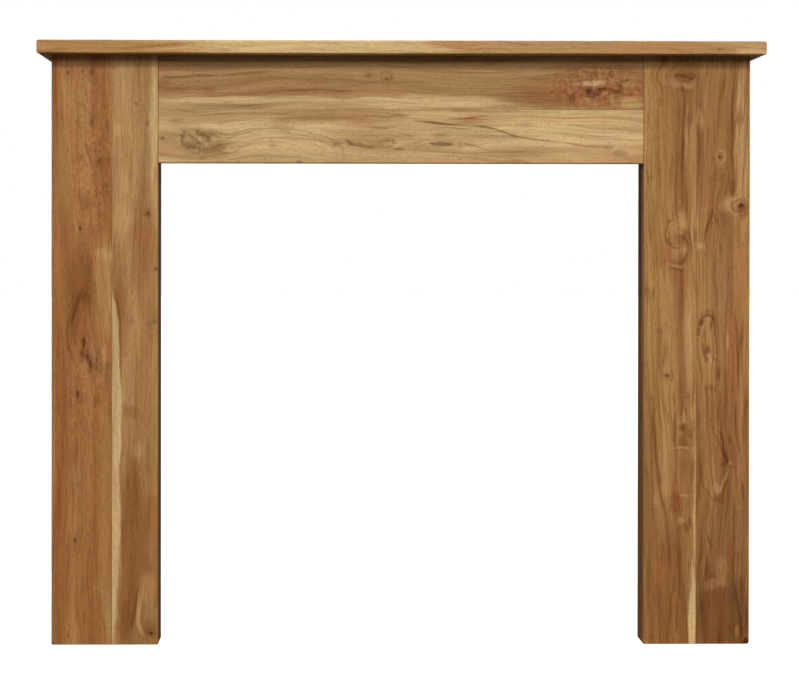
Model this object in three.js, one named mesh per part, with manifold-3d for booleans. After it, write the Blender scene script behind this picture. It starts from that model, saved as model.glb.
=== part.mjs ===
// A plain fire surround in solid acacia: a flat shelf over a frieze and two box legs.
// Millimetres, +Z up, the front faces -Y. The origin is on the floor, midway across the width and
// midway between the shelf's front edge and the wall.
import * as THREE from "three";
import { mergeVertices } from "three/addons/utils/BufferGeometryUtils.js";
import Module from "manifold-3d";

const wasm = await Module();
wasm.setup();

// Driving dimensions
const SHELF_WIDTH = 1372;
const SHELF_DEPTH = 178;
const SHELF_THICKNESS = 25;
const OVERALL_HEIGHT = 1143;
const SIDE_OVERHANG = 23;
const FRONT_OVERHANG = 33;
const LEG_WIDTH = 202;
const OPENING_HEIGHT = 914;
const BOARD_THICKNESS = 22;
const LEFT_LEG_OUTER_BOARD = 115;
const RIGHT_LEG_OUTER_BOARD = 102;
const FRIEZE_LOWER_BOARD = 102;
const FRIEZE_SETBACK = 3;
const INSERT_REBATE = 88;

// Eased arrises: the radius that sandpaper left on each kind of edge
const SHELF_EASE = 3;
const BOARD_EASE = 2;
const FOOT_EASE = 1.5;
const EASE_STEPS = 5;

// The crushed bottom corner of the right leg, as the box that is cut away from it
const CHIP_REACH = 6;
const CHIP_BOX = 20;

// Levels and faces that follow from the driving dimensions
const SHELF_UNDERSIDE = OVERALL_HEIGHT - SHELF_THICKNESS;
const SHELF_FRONT = -SHELF_DEPTH / 2;
const WALL = SHELF_DEPTH / 2;
const LEG_FRONT = SHELF_FRONT + FRONT_OVERHANG;
const LEG_BOARD_BACK = LEG_FRONT + BOARD_THICKNESS;
const INNER_RETURN_BACK = WALL - INSERT_REBATE;
const FRIEZE_FRONT = LEG_FRONT + FRIEZE_SETBACK;
const FRIEZE_SEAM = OPENING_HEIGHT + FRIEZE_LOWER_BOARD;
const LEG_OUTSIDE = SHELF_WIDTH / 2 - SIDE_OVERHANG;
const LEG_INSIDE = LEG_OUTSIDE - LEG_WIDTH;

// Finishes: oiled acacia, from cream sapwood to red-brown heartwood
const WOOD = {
  golden: 0xb98a55,
  cream: 0xc9a873,
  tan: 0xa8804f,
  brown: 0x95683f,
  reddish: 0x9c6a3e,
  side: 0x8f6740,
};
const SATIN = { roughness: 0.5, metalness: 0 };

// Each face of a board, as an axis and the end of that axis where it lies
const FACES = {
  left: { axis: "x", end: 0 },
  right: { axis: "x", end: 1 },
  front: { axis: "y", end: 0 },
  back: { axis: "y", end: 1 },
  bottom: { axis: "z", end: 0 },
  top: { axis: "z", end: 1 },
};

// The three outlines of a board, each drawn on two axes and pushed along the third
const OUTLINES = [
  { across: "x", up: "y", along: "z" },
  { across: "y", up: "z", along: "x" },
  { across: "z", up: "x", along: "y" },
];
const OVERRUN = 1;

function toManifold(geometry) {
  const bare = geometry.clone();
  bare.deleteAttribute("normal");
  bare.deleteAttribute("uv");
  const merged = mergeVertices(bare);
  return new wasm.Manifold(
    new wasm.Mesh({
      numProp: 3,
      vertProperties: new Float32Array(merged.attributes.position.array),
      triVerts: new Uint32Array(merged.index.array),
    }),
  );
}

function toGeometry(solid) {
  const mesh = solid.getMesh();
  const geometry = new THREE.BufferGeometry();
  geometry.setAttribute("position", new THREE.BufferAttribute(mesh.vertProperties, 3));
  geometry.setIndex(new THREE.BufferAttribute(mesh.triVerts, 1));
  geometry.computeVertexNormals();
  return geometry;
}

// The radius of the corner where two faces meet, or 0 where that edge is left square
function cornerRadius(eased, axisA, endA, axisB, endB) {
  for (const [edge, radius] of Object.entries(eased)) {
    const faces = edge.split("_").map((face) => FACES[face]);
    const onA = faces.some((face) => face.axis === axisA && face.end === endA);
    const onB = faces.some((face) => face.axis === axisB && face.end === endB);
    if (onA && onB) return radius;
  }
  return 0;
}

// A rectangle on two axes with its eased corners rounded, counter-clockwise from its lowest corner
function easedOutline(span, eased, { across, up }) {
  const corners = [
    [0, 0],
    [1, 0],
    [1, 1],
    [0, 1],
  ];
  const points = corners.flatMap(([a, b], i) => {
    const radius = cornerRadius(eased, across, a, up, b);
    const steps = radius ? EASE_STEPS : 0;
    const centreX = span[across][a] + (1 - 2 * a) * radius;
    const centreY = span[up][b] + (1 - 2 * b) * radius;
    return Array.from({ length: steps + 1 }, (_, k) => {
      const angle = Math.PI + ((i + k / EASE_STEPS) * Math.PI) / 2;
      return new THREE.Vector2(
        centreX + radius * Math.cos(angle),
        centreY + radius * Math.sin(angle),
      );
    });
  });
  return new THREE.Shape(points);
}

// The outline pushed through the board, a little past both ends where it only trims
function outlinePrism(span, eased, outline, overrun) {
  const [low, high] = span[outline.along];
  const geometry = new THREE.ExtrudeGeometry(easedOutline(span, eased, outline), {
    depth: high - low + 2 * overrun,
    bevelEnabled: false,
  });
  geometry.translate(0, 0, low - overrun);
  const axes = [outline.across, outline.up, outline.along].map((axis) => {
    const direction = new THREE.Vector3();
    direction[axis] = 1;
    return direction;
  });
  return geometry.applyMatrix4(new THREE.Matrix4().makeBasis(...axes));
}

// A squared board with some of its edges eased: the common part of its outlines
function easedBoard(span, eased) {
  const rounded = OUTLINES.filter(({ across, up }) =>
    [0, 1].some((a) => [0, 1].some((b) => cornerRadius(eased, across, a, up, b) > 0)),
  );
  const [first, ...others] = rounded.length ? rounded : OUTLINES;
  let solid = toManifold(outlinePrism(span, eased, first, 0));
  for (const outline of rounded.length ? others : []) {
    solid = solid.intersect(toManifold(outlinePrism(span, eased, outline, OVERRUN)));
  }
  return solid;
}

function piece(name, solid, color) {
  const mesh = new THREE.Mesh(
    toGeometry(solid),
    new THREE.MeshStandardMaterial({ color, ...SATIN }),
  );
  mesh.name = name;
  return mesh;
}

// The same stretch measured outwards from the middle, on the left (-1) or right (+1) side
function onSide(side, inner, outer) {
  return side < 0 ? [-outer, -inner] : [inner, outer];
}

function shelf() {
  const span = {
    x: [-SHELF_WIDTH / 2, SHELF_WIDTH / 2],
    y: [SHELF_FRONT, WALL],
    z: [SHELF_UNDERSIDE, OVERALL_HEIGHT],
  };
  const eased = {
    front_top: SHELF_EASE,
    front_bottom: SHELF_EASE,
    front_left: SHELF_EASE,
    front_right: SHELF_EASE,
    left_top: SHELF_EASE,
    left_bottom: SHELF_EASE,
    right_top: SHELF_EASE,
    right_bottom: SHELF_EASE,
  };
  return piece("shelf", easedBoard(span, eased), WOOD.golden);
}

// Two boards glued edge to edge between the legs, set back a little from their fronts
function frieze() {
  const x = [-LEG_INSIDE, LEG_INSIDE];
  const y = [FRIEZE_FRONT, FRIEZE_FRONT + BOARD_THICKNESS];
  const upper = easedBoard({ x, y, z: [FRIEZE_SEAM, SHELF_UNDERSIDE] }, {});
  const lower = easedBoard(
    { x, y, z: [OPENING_HEIGHT, FRIEZE_SEAM] },
    { front_bottom: BOARD_EASE },
  );
  return [
    piece("frieze_upper_board", upper, WOOD.tan),
    piece("frieze_lower_board", lower, WOOD.cream),
  ];
}

// The corner knocked off the foot: a box turned to face it and sunk in by the chip's reach
function crushedCorner() {
  const outward = new THREE.Vector3(1, -1, -1).normalize();
  const corner = new THREE.Vector3(LEG_OUTSIDE, LEG_FRONT, 0);
  const sunk = CHIP_BOX / 2 - CHIP_REACH / Math.sqrt(3);
  const turn = new THREE.Quaternion().setFromUnitVectors(new THREE.Vector3(0, 0, 1), outward);
  const place = corner.addScaledVector(outward, sunk);
  const box = new THREE.BoxGeometry(CHIP_BOX, CHIP_BOX, CHIP_BOX);
  return box.applyMatrix4(
    new THREE.Matrix4().compose(place, turn, new THREE.Vector3(1, 1, 1)),
  );
}

// A leg: a front of two boards glued edge to edge, with a return behind each of its edges
function leg(side, outerBoard, outerColor, innerColor) {
  const name = side < 0 ? "left_leg" : "right_leg";
  const outerFace = side < 0 ? "left" : "right";
  const innerFace = side < 0 ? "right" : "left";
  const seam = LEG_OUTSIDE - outerBoard;
  const z = [0, SHELF_UNDERSIDE];
  const frontY = [LEG_FRONT, LEG_BOARD_BACK];
  let outer = easedBoard(
    { x: onSide(side, seam, LEG_OUTSIDE), y: frontY, z },
    { [`front_${outerFace}`]: BOARD_EASE, front_bottom: FOOT_EASE },
  );
  if (side > 0) outer = outer.subtract(toManifold(crushedCorner()));
  const inner = easedBoard(
    { x: onSide(side, LEG_INSIDE, seam), y: frontY, z },
    { [`front_${innerFace}`]: BOARD_EASE, front_bottom: FOOT_EASE },
  );
  const outerReturn = easedBoard(
    {
      x: onSide(side, LEG_OUTSIDE - BOARD_THICKNESS, LEG_OUTSIDE),
      y: [LEG_BOARD_BACK, WALL],
      z,
    },
    {},
  );
  const innerReturn = easedBoard(
    {
      x: onSide(side, LEG_INSIDE, LEG_INSIDE + BOARD_THICKNESS),
      y: [LEG_BOARD_BACK, INNER_RETURN_BACK],
      z,
    },
    {},
  );
  return [
    piece(`${name}_outer_board`, outer, outerColor),
    piece(`${name}_inner_board`, inner, innerColor),
    piece(`${name}_outer_return`, outerReturn, WOOD.side),
    piece(`${name}_inner_return`, innerReturn, WOOD.side),
  ];
}

const mantelpiece = new THREE.Group();
mantelpiece.add(
  shelf(),
  ...frieze(),
  ...leg(-1, LEFT_LEG_OUTER_BOARD, WOOD.reddish, WOOD.tan),
  ...leg(1, RIGHT_LEG_OUTER_BOARD, WOOD.brown, WOOD.golden),
);

export default mantelpiece;
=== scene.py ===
# A plain fire surround in oiled acacia: its boards, their wood and the studio they stand in.
# Metres, +Z up, the front faces -Y. Grain positions are given as along, across and depth: along the
# board's length, across its show face, and depth from front to back.
import math
import random
from dataclasses import dataclass, field

import bpy
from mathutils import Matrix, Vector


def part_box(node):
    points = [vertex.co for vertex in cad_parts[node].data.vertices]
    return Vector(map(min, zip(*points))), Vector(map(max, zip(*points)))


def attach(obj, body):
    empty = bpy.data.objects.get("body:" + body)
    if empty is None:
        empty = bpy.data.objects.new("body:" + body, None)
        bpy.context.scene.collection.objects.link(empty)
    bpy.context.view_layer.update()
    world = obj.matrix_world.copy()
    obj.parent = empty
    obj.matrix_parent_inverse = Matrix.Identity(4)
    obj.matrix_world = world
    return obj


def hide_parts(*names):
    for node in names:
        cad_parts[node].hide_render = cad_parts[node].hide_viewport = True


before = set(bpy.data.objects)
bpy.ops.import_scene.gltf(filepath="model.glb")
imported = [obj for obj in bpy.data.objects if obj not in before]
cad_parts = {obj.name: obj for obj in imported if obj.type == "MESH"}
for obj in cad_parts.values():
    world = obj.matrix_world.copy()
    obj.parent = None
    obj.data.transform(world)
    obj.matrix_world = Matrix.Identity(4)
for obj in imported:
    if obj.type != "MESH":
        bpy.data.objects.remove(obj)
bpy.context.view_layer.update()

# The photograph's frame in pixels, and where the lens axis meets it
PHOTO_WIDTH = 799
PHOTO_HEIGHT = 680
AXIS_X = 343.2
AXIS_Y = 251.8

# The camera: all but straight on, a little left of the middle and below the frieze
SENSOR_WIDTH = 36.0
LENS = 72.05
CAMERA_DISTANCE = 3.0
CAMERA_X = -0.140
CAMERA_Z = 0.7595
TURNED_RIGHT = 0.56
TILTED_DOWN = 0.26
ROLLED_LEFT = 0.065

# Eased arrises, from a sanded show edge to a glue line
SHELF_EASE = 0.003
SHOW_EASE = 0.002
FOOT_EASE = 0.0015
WALL_EASE = 0.001
HIDDEN_EASE = 0.0005
SEAM_EASE = 0.0003
JOINT_EASE = 0.0012
END_EASE = 0.0002
ARRIS_STEPS = 4
SHARPEST_ROUND = 0.0008

# How much of its radius an arris wanders by, and how fast along the board, in radians a metre
ARRIS_WANDER = 0.25
SLOW_WANDER = 17
QUICK_WANDER = 41

# The mesh: its grid on a face, the rows that hold an arris crisp, and the gap left for glue
GRID_ACROSS = 0.004
GRID_ALONG = 0.008
HOLDING_ROW = 0.0006
GLUE_LINE = 0.00005

# The bake map: a band along its foot holds both end caps, side by side, and the skin is above it
CAP_BAND = 0.05
CAP_FILL = 0.8
CAP_WIDTH = 0.48
CAP_STARTS = (0.0, 0.5)

# The plane's trace on a show face: its depth, and its waves, in radians a metre
PLANED_HOLLOW = 0.00012
PLANED_WAVES = 4
WAVES_ALONG = (4, 22)
WAVES_ACROSS = (10, 60)

# How far a knot has shrunk below a show face, and how deep that face's unevenness goes in
KNOT_SINK = 0.00025
SHOW_FACE_DEPTH = 0.006

# The crushed corner of the right foot
CHIP_REACH = 0.006
CHIP_ROUGHNESS = 0.3
CHIP_SEED = 5

# How deep a mark in the wood goes in from the face it shows on
MARK_DEPTH = 0.03

# What the oil's sheen adds to the wood's own colour under the front lamps, and the least it leaves
SHEEN = 0.008
LEAST_COLOUR = 0.004

# The curve of a screen's colours: straight up to its toe, then a power
SCREEN_LEVELS = 255
SCREEN_TOE = 0.04045
SCREEN_TOE_SLOPE = 12.92
SCREEN_OFFSET = 0.055
SCREEN_POWER = 2.4


def seen(red, green, blue):
    """The wood's own colour, in linear values, for one that looks like this on a screen, 0 to 255."""
    def own(value):
        share = value / SCREEN_LEVELS
        linear = ((share + SCREEN_OFFSET) / (1 + SCREEN_OFFSET)) ** SCREEN_POWER
        if share <= SCREEN_TOE:
            linear = share / SCREEN_TOE_SLOPE
        return max(linear - SHEEN, LEAST_COLOUR)

    return (own(red), own(green), own(blue), 1.0)


# Colours of oiled acacia
CREAM = seen(203, 172, 122)
PALE = seen(186, 148, 98)
GOLDEN = seen(170, 126, 76)
OLIVE = seen(156, 122, 76)
RED = seen(150, 97, 57)
TAN = seen(178, 146, 101)
SAPWOOD = seen(188, 160, 112)
BROWN = seen(132, 86, 46)
DARK = seen(112, 67, 30)
UMBER = seen(110, 70, 41)
SMOKE = seen(110, 82, 48)
WALNUT = seen(134, 102, 63)
KNOT = seen(90, 47, 14)
RED_KNOT = seen(132, 66, 34)
PLUM = seen(74, 44, 36)
BRUISE = seen(58, 36, 22)
RAW_BACK = seen(172, 142, 104)

# What the figure multiplies the colour of the wood by
DEEP_STREAK = (0.60, 0.52, 0.42, 1.0)
FAIR_STREAK = (1.22, 1.26, 1.30, 1.0)
DARK_LINE = (0.52, 0.42, 0.32, 1.0)
RUDDY = (1.04, 0.96, 0.95, 1.0)
TAWNY = (0.97, 1.03, 1.0, 1.0)


@dataclass
class Stain:
    """A patch of another colour: where it lies along and across, and its half length and half width,
    with its half depth where that isn't the usual one."""
    tint: tuple
    at: tuple
    reach: tuple
    strength: float = 0.5
    soft: float = 0.5
    fray: float = 0.25
    lean: float = 0.0


def streak(tint, start, end, strength=0.5, half_width=0.0022):
    """A thin stain from one point to another, each given along and across."""
    length = end[0] - start[0]
    middle = ((start[0] + end[0]) / 2, (start[1] + end[1]) / 2)
    reach = (abs(length) / 2, half_width)
    return Stain(tint, middle, reach, strength, lean=(end[1] - start[1]) / length)


@dataclass
class Arc:
    """A growth ring that shows round a knot: whole, or on the side that a step along and across
    points to, with its width as a share of its reach."""
    tint: tuple
    at: tuple
    reach: tuple
    width: float = 0.2
    side: tuple = (0.0, 0.0)
    strength: float = 0.5


@dataclass
class KnotMark:
    """A knot: its dark heart, and how hard the grain is pushed round it."""
    at: tuple
    reach: tuple
    strength: float = 0.8
    push: float = 0.6
    tint: tuple = KNOT


@dataclass
class Burl:
    """Curly wood, mottled with a darker and a fairer colour, in so many cells a metre along and
    across."""
    at: tuple
    reach: tuple
    dark: tuple
    fair: tuple
    strength: float = 0.7
    cells: tuple = (105, 85)


@dataclass
class Timber:
    """One board's wood: its paler and deeper colour, its place in the log, and its marks. Flecks are
    stains that show over the curly wood."""
    light: tuple
    dark: tuple
    seed: float
    pith: tuple
    taper: float = 0.02
    waver: float = 0.016
    streaks: float = 0.5
    lines: float = 0.5
    stains: list = field(default_factory=list)
    burls: list = field(default_factory=list)
    flecks: list = field(default_factory=list)
    arcs: list = field(default_factory=list)
    knots: list = field(default_factory=list)


# Red-brown heartwood, with a golden patch by the glue line and an arch of darker wood above a knot
LEFT_OUTER_WOOD = Timber(
    light=seen(163, 114, 69),
    dark=seen(143, 94, 52),
    seed=3.0,
    pith=(-0.95, 0.35),
    streaks=0.45,
    lines=0.35,
    stains=[
        Stain(GOLDEN, (1.045, -0.634), (0.040, 0.012), 0.45, 0.7),
        Stain(OLIVE, (1.020, -0.617), (0.050, 0.010), 0.40, 0.7),
        Stain(RED, (0.790, -0.575), (0.040, 0.022), 0.40, 0.7),
        Stain(BROWN, (0.755, -0.601), (0.060, 0.014), 0.45, 0.7),
        Stain(DARK, (0.662, -0.606), (0.095, 0.026), 0.60, 0.6),
        Stain(DARK, (0.680, -0.598), (0.045, 0.012), 0.45, 0.7),
        Stain(BROWN, (0.140, -0.645), (0.190, 0.016), 0.75, 0.7),
        Stain(BROWN, (0.300, -0.604), (0.200, 0.020), 0.40, 0.7),
        Stain(GOLDEN, (0.900, -0.640), (0.090, 0.014), 0.40, 0.7),
        Stain(GOLDEN, (0.270, -0.562), (0.240, 0.011), 0.45, 0.7),
        Stain(GOLDEN, (0.676, -0.563), (0.088, 0.016), 0.85, 0.35),
        Stain(PALE, (0.739, -0.562), (0.012, 0.015), 0.40, 0.6),
        Stain(RED, (0.595, -0.605), (0.030, 0.010), 0.45, 0.6),
        Stain(OLIVE, (0.327, -0.619), (0.015, 0.011), 0.40, 0.6),
        Stain(RED, (0.176, -0.627), (0.014, 0.022), 0.50, 0.7),
        Stain(OLIVE, (0.110, -0.570), (0.024, 0.011), 0.40, 0.6),
        Stain(OLIVE, (0.055, -0.555), (0.062, 0.007), 0.85, 0.5),
        Stain(BROWN, (0.790, -0.619), (0.008, 0.005)),
        Stain(PALE, (0.791, -0.613), (0.008, 0.0022), 0.45),
        Stain(PALE, (0.534, -0.599), (0.008, 0.005), 0.45),
        Stain(PALE, (0.558, -0.563), (0.020, 0.005), 0.40),
        Stain(BROWN, (0.511, -0.558), (0.027, 0.005)),
        Stain(BROWN, (0.458, -0.576), (0.024, 0.006)),
        Stain(DARK, (0.369, -0.616), (0.030, 0.004), 0.40),
        streak(KNOT, (0.655, -0.610), (0.612, -0.625), 0.60, 0.0028),
        streak(DARK, (0.672, -0.621), (0.640, -0.630), 0.50),
        streak(DARK, (0.492, -0.625), (0.441, -0.627), 0.45),
        streak(DARK, (0.068, -0.598), (0.040, -0.601)),
    ],
    burls=[
        Burl((0.930, -0.592), (0.190, 0.042), BROWN, GOLDEN, 0.52, (85, 170)),
        Burl((0.480, -0.596), (0.120, 0.042), BROWN, GOLDEN, 0.50, (70, 170)),
    ],
    flecks=[
        Stain(BROWN, (0.838, -0.596), (0.020, 0.012), 0.60, 0.6),
        Stain(DARK, (0.988, -0.588), (0.009, 0.0040), 0.60),
        Stain(DARK, (0.985, -0.556), (0.010, 0.0030), 0.45),
        Stain(DARK, (0.913, -0.576), (0.009, 0.0030), 0.55),
        Stain(DARK, (0.919, -0.569), (0.009, 0.0024), 0.50),
        Stain(DARK, (0.917, -0.557), (0.009, 0.0030), 0.50),
        Stain(DARK, (0.870, -0.562), (0.006, 0.006), 0.45),
        Stain(DARK, (0.855, -0.560), (0.006, 0.006), 0.45),
        Stain(DARK, (0.858, -0.609), (0.010, 0.0026), 0.40),
        streak(DARK, (0.947, -0.602), (0.905, -0.585), 0.55),
        streak(DARK, (0.938, -0.580), (0.900, -0.567), 0.40),
        streak(GOLDEN, (0.936, -0.609), (0.906, -0.592), 0.50, 0.0030),
        streak(GOLDEN, (0.955, -0.5616), (0.940, -0.5523), 0.45, 0.0030),
    ],
    arcs=[
        Arc(KNOT, (0.607, -0.606), (0.054, 0.017), 0.40, (0.75, -0.65), 0.35),
        Arc(DARK, (0.590, -0.600), (0.070, 0.032), 0.16, (0.60, -0.80), 0.55),
    ],
    knots=[
        KnotMark((0.571, -0.601), (0.015, 0.0058), 0.90, 0.7),
        KnotMark((0.553, -0.606), (0.009, 0.0030), 0.60),
        KnotMark((0.544, -0.595), (0.008, 0.0050), 0.70),
        KnotMark((0.532, -0.589), (0.009, 0.0046), 0.80),
        KnotMark((0.545, -0.576), (0.010, 0.0040), 0.65),
        KnotMark((0.528, -0.576), (0.006, 0.0045), 0.50),
        KnotMark((0.475, -0.611), (0.010, 0.0046), 0.85, 0.7),
        KnotMark((0.416, -0.617), (0.008, 0.0025), 0.45),
        KnotMark((0.791, -0.607), (0.006, 0.0026), 0.85),
        KnotMark((1.085, -0.630), (0.008, 0.0050), 0.60),
        KnotMark((1.085, -0.605), (0.008, 0.0050), 0.55),
        KnotMark((1.083, -0.585), (0.008, 0.0045), 0.60),
        KnotMark((0.197, -0.618), (0.006, 0.0030), 0.65),
        KnotMark((0.017, -0.631), (0.007, 0.0024), 0.65),
    ],
)

# Tan wood, with a wedge of cream sapwood along the glue line from half height to the foot
LEFT_INNER_WOOD = Timber(
    light=seen(168, 128, 82),
    dark=seen(148, 106, 63),
    seed=11.0,
    pith=(-0.20, 0.35),
    streaks=0.5,
    lines=0.25,
    stains=[
        Stain(UMBER, (0.110, -0.500), (0.200, 0.060), 0.28, 0.7),
        Stain(PALE, (0.965, -0.526), (0.180, 0.026), 0.50, 0.7),
        Stain(BROWN, (0.620, -0.530), (0.070, 0.014), 0.60, 0.7),
        Stain(PALE, (0.620, -0.504), (0.060, 0.012), 0.40, 0.7),
        Stain(BROWN, (0.610, -0.472), (0.065, 0.012), 0.35, 0.7),
        Stain(BROWN, (0.130, -0.476), (0.150, 0.020), 0.50, 0.7),
        Stain(PALE, (0.978, -0.468), (0.140, 0.012), 0.80, 0.6),
        Stain(CREAM, (1.010, -0.468), (0.090, 0.009), 0.50, 0.6),
        Stain(OLIVE, (0.918, -0.483), (0.028, 0.007), 0.50, 0.6),
        Stain(PALE, (0.972, -0.537), (0.012, 0.011), 0.55, 0.6),
        Stain(PALE, (0.875, -0.526), (0.024, 0.008), 0.40, 0.6),
        Stain(PALE, (0.806, -0.530), (0.036, 0.014), 0.60, 0.6),
        Stain(BROWN, (0.752, -0.474), (0.055, 0.016), 0.40, 0.7),
        Stain(BROWN, (0.410, -0.472), (0.110, 0.012), 0.35, 0.7),
        Stain(RED, (0.777, -0.501), (0.020, 0.017), 0.50, 0.6),
        Stain(RED, (0.765, -0.484), (0.050, 0.006), 0.45),
        Stain(RED, (0.672, -0.526), (0.010, 0.006), 0.45),
        Stain(RED, (0.629, -0.530), (0.013, 0.005), 0.55),
        Stain(BROWN, (0.207, -0.512), (0.133, 0.020), 0.85),
        Stain(RED, (0.255, -0.474), (0.050, 0.012), 0.60),
        Stain(GOLDEN, (0.303, -0.473), (0.020, 0.010)),
        Stain(GOLDEN, (0.104, -0.478), (0.030, 0.016), 0.70),
        Stain(OLIVE, (0.062, -0.473), (0.016, 0.012)),
        Stain(DARK, (0.047, -0.524), (0.045, 0.010), 0.55),
        Stain(BROWN, (0.030, -0.478), (0.012, 0.014), 0.55),
        Stain(OLIVE, (0.502, -0.523), (0.027, 0.006)),
        Stain(BROWN, (0.441, -0.525), (0.016, 0.006)),
        Stain(BROWN, (0.441, -0.508), (0.010, 0.016), 0.40, 0.6),
        Stain(PALE, (0.369, -0.497), (0.016, 0.010), 0.40, 0.6),
        Stain(SAPWOOD, (0.274, -0.550), (0.247, 0.0192), 0.95, 0.15, 0.10),
        Stain(SAPWOOD, (0.575, -0.5574), (0.240, 0.0210), 0.95, 0.12, 0.06, -0.075),
        Stain(SAPWOOD, (0.060, -0.5465), (0.080, 0.0058), 0.65, 0.4),
        streak(PALE, (1.110, -0.5472), (0.560, -0.5472), 0.50, 0.0013),
        streak(DARK, (0.682, -0.540), (0.606, -0.533), 0.60, 0.0026),
        streak(BROWN, (0.606, -0.533), (0.500, -0.529), 0.55, 0.0030),
        streak(BROWN, (0.440, -0.529), (0.330, -0.528), 0.45, 0.0030),
        streak(KNOT, (0.113, -0.497), (0.036, -0.512), 0.55, 0.0040),
        streak(PALE, (0.098, -0.4955), (0.045, -0.4985), 0.65, 0.0045),
        streak(PALE, (0.045, -0.4985), (0.022, -0.4915), 0.55, 0.0040),
        Stain(BROWN, (0.989, -0.483), (0.006, 0.004), 0.45),
        Stain(BROWN, (0.817, -0.486), (0.005, 0.005)),
        Stain(BROWN, (0.550, -0.524), (0.006, 0.004), 0.45),
    ],
    knots=[
        KnotMark((0.022, -0.475), (0.006, 0.0050), 0.90, 0.8),
        KnotMark((0.818, -0.481), (0.005, 0.0030), 0.85),
        KnotMark((0.710, -0.464), (0.003, 0.0030), 0.85),
        KnotMark((1.024, -0.503), (0.003, 0.0028), 0.60),
        KnotMark((0.610, -0.469), (0.004, 0.0030), 0.50),
        KnotMark((0.614, -0.513), (0.008, 0.0040), 0.35),
    ],
)

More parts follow.
